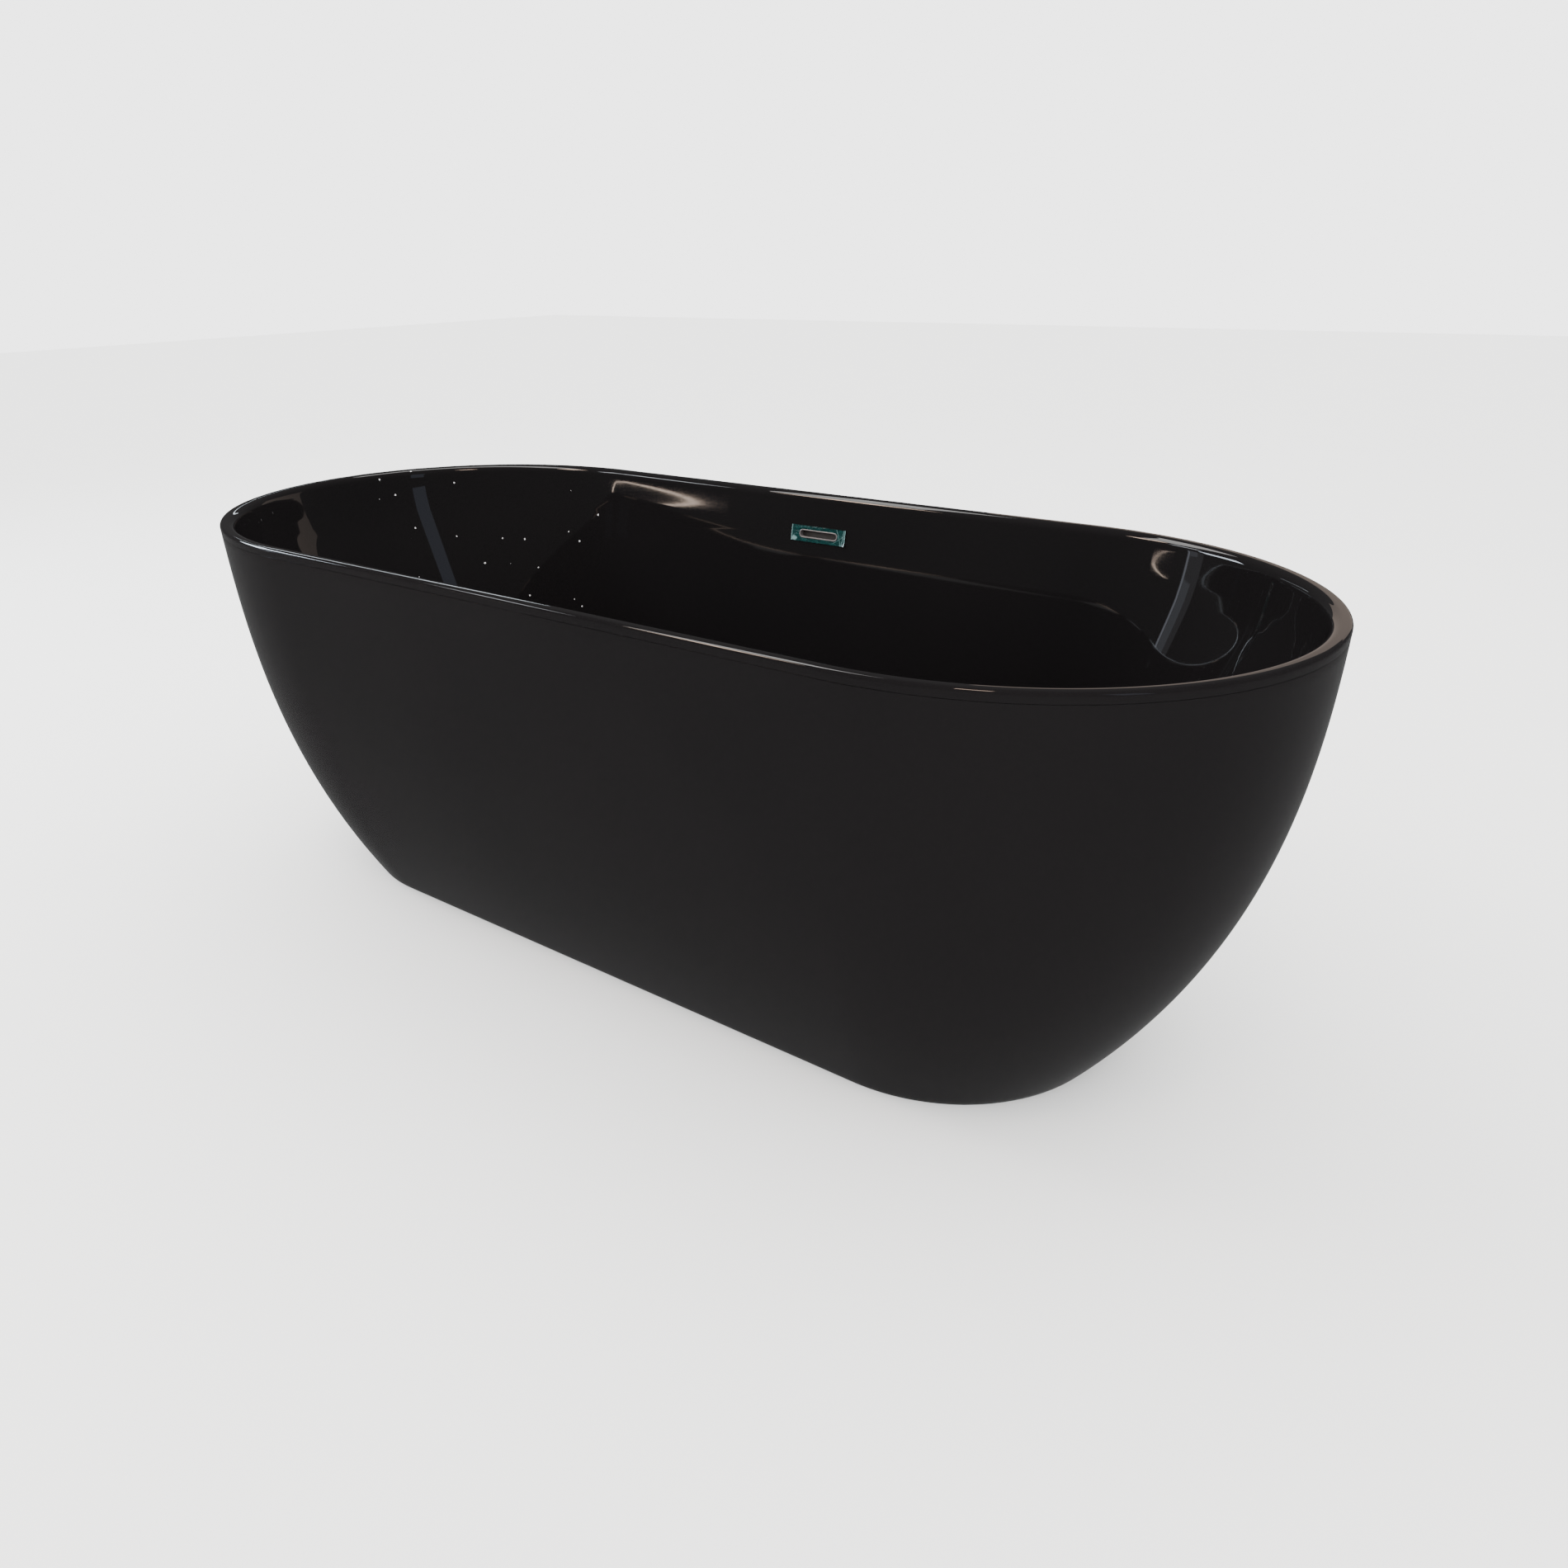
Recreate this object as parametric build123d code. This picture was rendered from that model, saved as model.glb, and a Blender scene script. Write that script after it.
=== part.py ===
from build123d import *
import math
import os

# Freestanding double-ended bathtub. Millimetres, +Z up, origin under the middle of the tub on the floor.
# The long side runs along X. The overflow is in the middle of the +Y wall.

# ---- driving dimensions ----
LENGTH = 1700.0
WIDTH = 750.0
HEIGHT = 600.0
BASE_LENGTH = 1336.0
BASE_WIDTH = 480.0
SIDE_STRAIGHT_TOP = 450.0
SIDE_STRAIGHT_BASE = 430.0
SHELL = 5.0

RIM_WIDTH = 21.0
RIM_DEPTH = 12.0
RIM_OUTER_RADIUS = 5.0
RIM_INNER_RADIUS = 12.0
BOND_DEPTH = 14.0

FLOOR_Z = 150.0
FLOOR_FALL = 5.0
FLOOR_UNDERSIDE = 138.0
CORNER_RADIUS = 88.0

BOARD_THICKNESS = 12.0
BOARD_LENGTH = 1080.0
BOARD_WIDTH = 320.0

TUBE = 25.0
TUBE_WALL = 2.0
RAIL_LENGTH = 1000.0
RAIL_Y = 125.0
CROSS_X = 385.0
BRACKET_FOOT = 3.0
BRACKET_UPRIGHT = 2.0
BRACKET_WIDTH = 28.0
BLOCK_WIDTH = 70.0
BLOCK_DEPTH = 20.0

FOOT_X = 455.0
STEM_RADIUS = 6.0
THREAD_CLEARANCE = 0.08
PAD_RADIUS = 25.0
PAD_HEIGHT = 14.0
SOLE_HEIGHT = 3.0

DRAIN_BORE = 20.0
DRAIN_THREAD_RADIUS = 24.0
DRAIN_FLANGE_RADIUS = 35.0
DRAIN_FLANGE_THICKNESS = 2.5
DRAIN_BODY_LOW = 100.0
SEAL_THICKNESS = 2.0
STOPPER_TRAVEL = 9.0
STOPPER_GAP = 0.4
STOPPER_RADIUS = 31.0
POST_RADIUS = 4.0
HUB_LOW = 112.0
HUB_HEIGHT = 8.0
SLEEVE_BORE = 5.5
SLEEVE_FLOOR = 88.0
POST_HEAD = 4.0
SPRING_WIRE = 0.9
SPRING_TURNS = 6
RUNNING_CLEARANCE = 0.08

TEE_TOP = 111.5
TEE_SHOULDER = 98.0
TEE_LOW = 50.0
TEE_RADIUS = 28.0
INLET_Z = 82.0
SLIP_NUT_LOW = 38.0
TAIL_RADIUS = 20.0
TAIL_NECK_RADIUS = 19.5
TAIL_BORE = 18.2
TAIL_LOW = 16.0
TAIL_STEP = 36.0

OVERFLOW_Z = 536.0
SLOT_LENGTH = 70.0
SLOT_HEIGHT = 10.0
TRIM_WALL = 2.0
PLATE_LENGTH = 104.0
PLATE_HEIGHT = 26.0
BOX_LENGTH = 110.0
HOSE_RADIUS = 12.0
HOSE_BORE = 9.5
# the overflow hose's route in the plane x = 0, as (y, z) from the tee to the overflow box
HOSE_ROUTE = [(56, 82), (205, 82), (262, 142), (300, 222), (325, 318), (340, 400), (348.8, 470)]

# ---- heights worked out from them ----
RIM_UNDERSIDE = HEIGHT - RIM_DEPTH
BOARD_UNDERSIDE = FLOOR_UNDERSIDE - BOARD_THICKNESS
RAIL_TOP = BOARD_UNDERSIDE
RAIL_UNDERSIDE = RAIL_TOP - TUBE
CROSS_UNDERSIDE = RAIL_UNDERSIDE - TUBE
DRAIN_TOP = FLOOR_Z - FLOOR_FALL + SEAL_THICKNESS + DRAIN_FLANGE_THICKNESS


# ---- the tub's form ----
def side_straight(z):
    return SIDE_STRAIGHT_BASE + (SIDE_STRAIGHT_TOP - SIDE_STRAIGHT_BASE) * z / HEIGHT


def outer_half_length(z):
    s = z / HEIGHT
    flare = 0.04 * s + 0.96 * (1 - (1 - s) ** 2.5)
    return (BASE_LENGTH + (LENGTH - BASE_LENGTH) * flare) / 2


def outer_half_width(z):
    s = z / HEIGHT
    flare = 0.22 * s + 0.78 * (1 - (1 - s) ** 2.7)
    return (BASE_WIDTH + (WIDTH - BASE_WIDTH) * flare) / 2


def soft_bend(depth, start, spread):
    """Zero at the rim, turning smoothly into a slope of one below the start depth."""
    here = (depth - start + math.hypot(depth - start, spread)) / 2
    at_rim = (math.hypot(start, spread) - start) / 2
    return here - at_rim


def inner_half_length(z):
    depth = HEIGHT - z
    return LENGTH / 2 - RIM_WIDTH - 0.12 * depth - 0.33 * soft_bend(depth, 70, 40)


def inner_half_width(z):
    depth = HEIGHT - z
    return WIDTH / 2 - RIM_WIDTH - 0.15 * depth - 0.08 * soft_bend(depth, 70, 40)


def plan(z, half_length, half_width, straight):
    """A flat face: two straight sides joined by half-elliptic ends."""
    front = Line((-straight, -half_width), (straight, -half_width))
    right = EllipticalCenterArc((straight, 0), half_length - straight, half_width, -90, arc_size=180)
    back = Line((straight, half_width), (-straight, half_width))
    left = EllipticalCenterArc((-straight, 0), half_length - straight, half_width, 90, arc_size=180)
    return Pos(0, 0, z) * make_face(front + right + back + left)


def outer_form(inset, bottom, top):
    """Solid inside the skirt's outer face, drawn in by the inset."""
    heights = [bottom, 60, 130, 210, 300, 400, 500, top]
    faces = []
    for z in heights:
        size = (outer_half_length(z) - inset, outer_half_width(z) - inset)
        faces.append(plan(z, *size, side_straight(z)))
    return loft(faces)


def bowl_form(grow, floor_z, top):
    """Solid that fills the bathing space, grown sideways, with a rounded lower edge."""
    radius = CORNER_RADIUS + grow
    faces = []
    for degrees in (0, 12, 25, 40, 55, 72):
        angle = math.radians(degrees)
        z = floor_z + radius * (1 - math.cos(angle))
        inset = radius * (1 - math.sin(angle)) - grow
        size = (inner_half_length(z) - inset, inner_half_width(z) - inset)
        faces.append(plan(z, *size, side_straight(z)))
    lowest_wall = floor_z + radius
    for step in range(8):
        z = lowest_wall + (top - lowest_wall) * step / 7
        size = (inner_half_length(z) + grow, inner_half_width(z) + grow)
        faces.append(plan(z, *size, side_straight(z)))
    return loft(faces)


def ring(outer, inner, bottom, top):
    body = Cylinder(outer, top - bottom, align=(Align.CENTER, Align.CENTER, Align.MIN))
    hole = Cylinder(inner, top - bottom + 2, align=(Align.CENTER, Align.CENTER, Align.MIN))
    return Pos(0, 0, bottom) * (body - Pos(0, 0, -1) * hole)


def rod(radius, bottom, top):
    return Pos(0, 0, bottom) * Cylinder(radius, top - bottom, align=(Align.CENTER, Align.CENTER, Align.MIN))


def hex_prism(across_flats, bottom, top):
    outline = RegularPolygon(across_flats / 2, 6, major_radius=False)
    return Pos(0, 0, bottom) * extrude(outline, top - bottom)


def box_between(x0, x1, y0, y1, z0, z1):
    return Pos((x0 + x1) / 2, (y0 + y1) / 2, (z0 + z1) / 2) * Box(x1 - x0, y1 - y0, z1 - z0)


# ---- overflow position on the far wall ----
OVERFLOW_Y = inner_half_width(OVERFLOW_Z)
WALL_LEAN = math.degrees(math.atan(inner_half_width(OVERFLOW_Z + 1) - OVERFLOW_Y))


def on_wall(distance):
    """Plane parallel to the far wall at the overflow, the distance measured into the tub."""
    lean = math.radians(WALL_LEAN)
    into_tub = (0, -math.cos(lean), math.sin(lean))
    origin = Vector(0, OVERFLOW_Y, OVERFLOW_Z) + Vector(*into_tub) * distance
    return Plane(origin=origin, x_dir=(1, 0, 0), z_dir=into_tub)


def throat_outline():
    return SlotOverall(SLOT_LENGTH + 2 * TRIM_WALL, SLOT_HEIGHT + 2 * TRIM_WALL)


def wall_slab(outline, near, far):
    """A flat piece parallel to the wall, between two distances into the tub."""
    return extrude(on_wall(near) * outline, far - near)


# ---- the two shells ----
def make_skirt():
    skirt = outer_form(0, 0, RIM_UNDERSIDE) - outer_form(SHELL, -5, RIM_UNDERSIDE + 4)
    return skirt


def on_inner_edge(edge):
    """True for an edge that lies on the bathing space's mouth, not on the rim's outer edge."""
    middle = edge @ 0.5
    along = max(abs(middle.X) - SIDE_STRAIGHT_TOP, 0) / (LENGTH / 2 - RIM_WIDTH - SIDE_STRAIGHT_TOP)
    across = abs(middle.Y) / (WIDTH / 2 - RIM_WIDTH)
    return math.hypot(along, across) < 1.005


def make_basin():
    rim_plan = plan(RIM_UNDERSIDE, LENGTH / 2, WIDTH / 2, SIDE_STRAIGHT_TOP)
    rim = extrude(rim_plan, RIM_DEPTH, dir=(0, 0, 1))
    rim = fillet(rim.edges().group_by(Axis.Z)[-1], RIM_OUTER_RADIUS)
    body = bowl_form(SHELL, FLOOR_UNDERSIDE, RIM_UNDERSIDE + 2)
    basin = rim + body - bowl_form(0, FLOOR_Z, HEIGHT + 4)
    mouth = basin.edges().filter_by_position(Axis.Z, HEIGHT - 0.01, HEIGHT + 0.01)
    inner_edges = ShapeList(edge for edge in mouth if on_inner_edge(edge))
    basin = fillet(inner_edges, RIM_INNER_RADIUS)
    basin -= floor_fall()
    basin -= rod(DRAIN_THREAD_RADIUS + 1, FLOOR_UNDERSIDE - 5, FLOOR_Z + 5)
    return basin - extrude(on_wall(0) * throat_outline(), 15, both=True)


def floor_fall():
    """Shallow dish that leads the water from the floor's edge to the drain."""
    radius = CORNER_RADIUS
    edge = (inner_half_length(FLOOR_Z) - radius, inner_half_width(FLOOR_Z) - radius)
    top = plan(FLOOR_Z, *edge, side_straight(FLOOR_Z))
    low = plan(FLOOR_Z - FLOOR_FALL, DRAIN_FLANGE_RADIUS + 3, DRAIN_FLANGE_RADIUS + 2, 1)
    return loft([top, low])


def make_rim_bond():
    """Adhesive bead in the corner under the rim, between the skirt and the basin."""
    layer = box_between(-LENGTH, LENGTH, -WIDTH, WIDTH, RIM_UNDERSIDE - BOND_DEPTH, RIM_UNDERSIDE)
    bead = outer_form(SHELL, 0, RIM_UNDERSIDE) & layer
    return bead - bowl_form(SHELL, FLOOR_UNDERSIDE, RIM_UNDERSIDE + 2)


def make_base_board():
    half_length = BOARD_LENGTH / 2
    half_width = BOARD_WIDTH / 2
    outline = plan(BOARD_UNDERSIDE, half_length, half_width, half_length - half_width)
    board = extrude(outline, BOARD_THICKNESS, dir=(0, 0, 1))
    return board - rod(DRAIN_THREAD_RADIUS + 1, BOARD_UNDERSIDE - 1, FLOOR_UNDERSIDE + 1)


# ---- the frame ----
def square_tube(length, axis):
    hollow = TUBE - 2 * TUBE_WALL
    section = RectangleRounded(TUBE, TUBE, 3) - RectangleRounded(hollow, hollow, 1)
    return Plane(origin=(0, 0, 0), z_dir=axis) * extrude(section, length / 2, both=True)


def make_rail(y):
    rail = Pos(0, y, RAIL_UNDERSIDE + TUBE / 2) * square_tube(RAIL_LENGTH, (1, 0, 0))
    for x in (-FOOT_X, FOOT_X):
        rail -= Pos(x, y, 0) * rod(STEM_RADIUS + 1, RAIL_UNDERSIDE - 5, RAIL_TOP - 5)
    return rail


def cross_half_length():
    return outer_half_width(CROSS_UNDERSIDE) - SHELL - BLOCK_DEPTH - BRACKET_UPRIGHT


def outrigger_end():
    return outer_half_length(RAIL_UNDERSIDE) - SHELL - BLOCK_DEPTH - BRACKET_UPRIGHT


def make_cross(x):
    return Pos(x, 0, CROSS_UNDERSIDE + TUBE / 2) * square_tube(2 * cross_half_length(), (0, 1, 0))


def make_end(side):
    x = side * (RAIL_LENGTH / 2 - TUBE / 2)
    length = 2 * RAIL_Y - TUBE
    return Pos(x, 0, RAIL_UNDERSIDE + TUBE / 2) * square_tube(length, (0, 1, 0))


def make_outrigger(side):
    start = RAIL_LENGTH / 2
    end = outrigger_end()
    return Pos(side * (start + end) / 2, 0, RAIL_UNDERSIDE + TUBE / 2) * square_tube(end - start, (1, 0, 0))


def block_places():
    """Each bonded block: the centre of its inner face and its turn about Z."""
    places = []
    for x, y, z, turn in tube_ends():
        reach = Vector(BRACKET_UPRIGHT, 0, 0).rotate(Axis.Z, turn)
        places.append((x + reach.X, y + reach.Y, z, turn))
    return places


def tube_ends():
    """The lower edge of each tube end that meets the skirt, and its direction about Z."""
    ends = []
    y = cross_half_length()
    for x in (-CROSS_X, CROSS_X):
        ends.append((x, y, CROSS_UNDERSIDE, 90))
        ends.append((x, -y, CROSS_UNDERSIDE, -90))
    ends.append((outrigger_end(), 0, RAIL_UNDERSIDE, 0))
    ends.append((-outrigger_end(), 0, RAIL_UNDERSIDE, 180))
    return ends


def make_skirt_blocks(screws):
    """Blocks bonded to the skirt's inner face, one at each tube end."""
    inside_skirt = outer_form(SHELL, -5, RIM_UNDERSIDE + 4)
    half = BLOCK_WIDTH / 2
    blocks = []
    for x, y, z, turn in block_places():
        block = box_between(0, 50, -half, half, -BRACKET_FOOT, TUBE)
        placed = Pos(x, y, z) * Rot(0, 0, turn) * block
        blocks.append((placed & inside_skirt - screws).solid())
    return blocks


def make_skirt_brackets(screws):
    """Angle brackets: a long leg under the tube and a short leg between the tube's end and the block."""
    half = BRACKET_WIDTH / 2
    brackets = []
    for x, y, z, turn in tube_ends():
        foot = box_between(-38, 0, -half, half, -BRACKET_FOOT, 0)
        upright = box_between(0, BRACKET_UPRIGHT, -half, half, -BRACKET_FOOT, TUBE)
        placed = Pos(x, y, z) * Rot(0, 0, turn) * (foot + upright)
        brackets.append((placed - screws).solid())
    return brackets


def pan_screw(length):
    """Screw with its head's underside at the origin and its shank along -Z."""
    recess = Pos(0, 0, 2) * (Box(5, 1, 2) + Box(1, 5, 2))
    return rod(4.5, 0, 2.6) + rod(2, -length, 0) - recess


def make_bracket_screws():
    """Two screws for each bracket: one up into the tube and one out into the block."""
    screws = []
    for x, y, z, turn in tube_ends():
        at_end = Pos(x, y, z) * Rot(0, 0, turn)
        screws.append(at_end * Pos(-24, 0, -BRACKET_FOOT) * Rot(180, 0, 0) * pan_screw(8))
        screws.append(at_end * Pos(0, 0, TUBE / 2) * Rot(0, -90, 0) * pan_screw(18))
    return screws


def make_board_screws():
    screws = []
    for x in (-300, -150, 150, 300):
        for y in (-RAIL_Y, RAIL_Y):
            screws.append(Pos(x, y, RAIL_UNDERSIDE) * Rot(180, 0, 0) * pan_screw(TUBE + 8))
    return screws


# ---- the feet ----
def foot_places():
    fronts = {"fl": (-FOOT_X, -RAIL_Y), "fr": (FOOT_X, -RAIL_Y)}
    rears = {"rl": (-FOOT_X, RAIL_Y), "rr": (FOOT_X, RAIL_Y)}
    return fronts | rears


def make_weld_nuts():
    nuts = []
    for x, y in foot_places().values():
        nut = hex_prism(19, RAIL_UNDERSIDE - 10, RAIL_UNDERSIDE)
        nuts.append(Pos(x, y, 0) * (nut - rod(STEM_RADIUS + THREAD_CLEARANCE, 80, RAIL_UNDERSIDE + 1)))
    return nuts


def make_foot_sole():
    return rod(PAD_RADIUS, 0, SOLE_HEIGHT)


def make_foot_pad():
    skirt = Pos(0, 0, SOLE_HEIGHT) * Cone(PAD_RADIUS, 12, 5, align=(Align.CENTER, Align.CENTER, Align.MIN))
    pad = skirt + rod(12, SOLE_HEIGHT + 5, PAD_HEIGHT)
    return pad - rod(STEM_RADIUS + RUNNING_CLEARANCE, SOLE_HEIGHT + 2, PAD_HEIGHT + 1)


def make_foot_stem():
    stem = rod(STEM_RADIUS, SOLE_HEIGHT + 2.3, RAIL_TOP - 4)
    stem = chamfer(stem.edges().group_by(Axis.Z)[-1], 1)
    return stem + hex_prism(15, PAD_HEIGHT + 4, PAD_HEIGHT + 12)


def make_foot_locknut():
    top = RAIL_UNDERSIDE - 10.4
    return hex_prism(19, top - 7, top) - rod(STEM_RADIUS, top - 8, top + 1)


# ---- the waste ----
def make_drain_body():
    flange_low = FLOOR_Z - FLOOR_FALL + SEAL_THICKNESS
    body = rod(DRAIN_FLANGE_RADIUS, flange_low, DRAIN_TOP)
    body = fillet(body.edges().group_by(Axis.Z)[-1], 2)
    body += rod(DRAIN_THREAD_RADIUS, DRAIN_BODY_LOW, flange_low)
    body -= rod(DRAIN_BORE, DRAIN_BODY_LOW - 1, DRAIN_TOP + 1)
    hub = rod(7, HUB_LOW, HUB_LOW + HUB_HEIGHT)
    for turn in (0, 120, 240):
        hub += Rot(0, 0, turn) * box_between(0, DRAIN_BORE + 1, -1.5, 1.5, HUB_LOW, HUB_LOW + HUB_HEIGHT)
    return body + hub - rod(POST_RADIUS + RUNNING_CLEARANCE, HUB_LOW - 1, HUB_LOW + HUB_HEIGHT + 1)


def make_drain_seal():
    low = FLOOR_Z - FLOOR_FALL
    return ring(DRAIN_FLANGE_RADIUS - 2, DRAIN_THREAD_RADIUS + 1.5, low, low + SEAL_THICKNESS)


def make_drain_gasket():
    return ring(36, DRAIN_THREAD_RADIUS, BOARD_UNDERSIDE - 3, BOARD_UNDERSIDE)


def make_drain_locknut():
    nut = hex_prism(66, TEE_TOP + 0.5, BOARD_UNDERSIDE - 3)
    return nut - rod(DRAIN_THREAD_RADIUS, TEE_TOP - 1, BOARD_UNDERSIDE)


def make_waste_tee():
    tee = rod(TEE_RADIUS, TEE_SHOULDER - 6, TEE_TOP) + rod(DRAIN_THREAD_RADIUS, TEE_LOW, TEE_SHOULDER)
    reach = HOSE_ROUTE[0][0] - 2
    inlet_plane = Plane(origin=(0, 0, INLET_Z), z_dir=(0, 1, 0))
    tee += extrude(inlet_plane * Circle(HOSE_RADIUS + 1), reach)
    tee += extrude(inlet_plane * Circle(HOSE_BORE), reach + 20)
    tee -= extrude(inlet_plane * Circle(HOSE_BORE - 2), reach + 21)
    tee -= rod(DRAIN_THREAD_RADIUS, TEE_SHOULDER, TEE_TOP + 1)
    return tee - rod(TAIL_NECK_RADIUS, TEE_LOW - 1, TEE_SHOULDER + 1)


def make_tee_washer():
    return ring(DRAIN_THREAD_RADIUS, DRAIN_BORE, TEE_SHOULDER, DRAIN_BODY_LOW)


def make_slip_nut():
    nut = ring(TEE_RADIUS + 1, DRAIN_THREAD_RADIUS, SLIP_NUT_LOW + 4, TEE_LOW + 7)
    nut += ring(TEE_RADIUS + 1, TAIL_NECK_RADIUS + 0.1, SLIP_NUT_LOW, SLIP_NUT_LOW + 4)
    for turn in range(0, 360, 30):
        rib = box_between(TEE_RADIUS, TEE_RADIUS + 2.5, -1.5, 1.5, SLIP_NUT_LOW, TEE_LOW + 7)
        nut += Rot(0, 0, turn) * rib
    return nut


def make_slip_washer():
    return ring(DRAIN_THREAD_RADIUS, TAIL_NECK_RADIUS, SLIP_NUT_LOW + 4, TEE_LOW)


def make_tailpiece():
    """Outlet pipe: a full-size free end below a slimmer neck that passes through the slip nut."""
    outside = rod(TAIL_RADIUS, TAIL_LOW, TAIL_STEP) + rod(TAIL_NECK_RADIUS, TAIL_STEP, TEE_LOW + 10)
    return outside - rod(TAIL_BORE, TAIL_LOW - 1, TEE_LOW + 11)


# ---- the click stopper, standing open ----
def stopper_low():
    return DRAIN_TOP + STOPPER_GAP + STOPPER_TRAVEL


def make_stopper_seal():
    return ring(STOPPER_RADIUS - 4, POST_RADIUS, stopper_low(), stopper_low() + SEAL_THICKNESS)


def make_stopper_cap():
    low = stopper_low() + SEAL_THICKNESS
    cap = rod(STOPPER_RADIUS, low, low + 5)
    return fillet(cap.edges().group_by(Axis.Z)[-1], 4)


def post_low():
    return HUB_LOW - STOPPER_GAP - POST_HEAD


def make_stopper_post():
    post = rod(POST_RADIUS, post_low(), stopper_low() + SEAL_THICKNESS)
    return post + rod(SLEEVE_BORE - RUNNING_CLEARANCE, post_low(), post_low() + POST_HEAD)


def make_click_sleeve():
    sleeve = rod(7, SLEEVE_FLOOR - 3, HUB_LOW) - rod(SLEEVE_BORE, SLEEVE_FLOOR, HUB_LOW + 1)
    return sleeve - rod(1.5, SLEEVE_FLOOR - 4, SLEEVE_FLOOR + 1)


def make_click_spring():
    radius = SLEEVE_BORE - 0.4 - SPRING_WIRE / 2
    low = SLEEVE_FLOOR + SPRING_WIRE / 2
    height = post_low() - SLEEVE_FLOOR - SPRING_WIRE
    path = Pos(0, 0, low) * Helix(height / SPRING_TURNS, height, radius)
    section = Plane(origin=path @ 0, z_dir=path % 0) * Circle(SPRING_WIRE / 2)
    return sweep(section, path, is_frenet=True)


# ---- the overflow ----
def make_overflow_trim():
    """Plate on the wall with a throat through it and a raised nose around the slot."""
    trim = wall_slab(RectangleRounded(PLATE_LENGTH - 2, PLATE_HEIGHT - 2, 2), 0.1, 1.1)
    trim += wall_slab(throat_outline(), -7, 2.2)
    return trim - wall_slab(SlotOverall(SLOT_LENGTH, SLOT_HEIGHT), -8, 4)


def make_overflow_film():
    return wall_slab(Rectangle(PLATE_LENGTH, PLATE_HEIGHT) - throat_outline(), 1.1, 1.4)


def make_overflow_gasket():
    outline = SlotOverall(SLOT_LENGTH + 18, SLOT_HEIGHT + 18) - throat_outline()
    return wall_slab(outline, -7, -5)


def box_shell(inset):
    """The overflow box's outer form, drawn in by the inset: a flat head over a deeper sump."""
    head = Pos(0, -20) * Rectangle(BOX_LENGTH - 2 * inset, 80 - 2 * inset)
    sump = Pos(0, -39) * Rectangle(64 - 2 * inset, 42 - 2 * inset)
    return wall_slab(head, -16 + inset, -7 - inset) + wall_slab(sump, -22 + inset, -7 - inset)


def make_overflow_box():
    box = box_shell(0) + spigot(HOSE_BORE)
    box -= box_shell(2)
    box -= wall_slab(throat_outline(), -10, -6)
    return box - spigot(HOSE_BORE - 2)


def hose_top_plane(back):
    """Plane across the hose, the given distance back from its upper end, facing along it."""
    last, end = [Vector(0, y, z) for y, z in HOSE_ROUTE[-2:]]
    along = (end - last).normalized()
    return Plane(origin=end - along * back, x_dir=(1, 0, 0), z_dir=along)


def spigot(radius):
    return extrude(hose_top_plane(20) * Circle(radius), 28)


def make_overflow_hose():
    points = [Vector(0, y, z) for y, z in HOSE_ROUTE]
    radii = []
    for before, corner, after in zip(points, points[1:], points[2:]):
        arriving = corner - before
        leaving = after - corner
        turn = math.radians(arriving.get_angle(leaving))
        radii.append(0.45 * min(arriving.length, leaving.length) / math.tan(turn / 2))
    print("overflow hose radii", [round(radius) for radius in radii])
    path = FilletPolyline(*points, radius=radii)
    across = Plane(origin=points[0], z_dir=points[1] - points[0])
    section = across * (Circle(HOSE_RADIUS) - Circle(HOSE_BORE))
    return sweep(section, path)


def hose_clamp(plane):
    """Worm-drive clamp around the hose, centred on the plane."""
    band = extrude(plane * (Circle(HOSE_RADIUS + 1) - Circle(HOSE_RADIUS)), 4, both=True)
    housing = extrude(plane * Pos(HOSE_RADIUS + 3.5, 0) * Rectangle(5, 11), 5, both=True)
    return band + housing


def make_hose_clamp_upper():
    return hose_clamp(hose_top_plane(9))


def make_hose_clamp_lower():
    start_y, start_z = HOSE_ROUTE[0]
    return hose_clamp(Plane(origin=(0, start_y + 8, start_z), x_dir=(1, 0, 0), z_dir=(0, 1, 0)))


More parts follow.
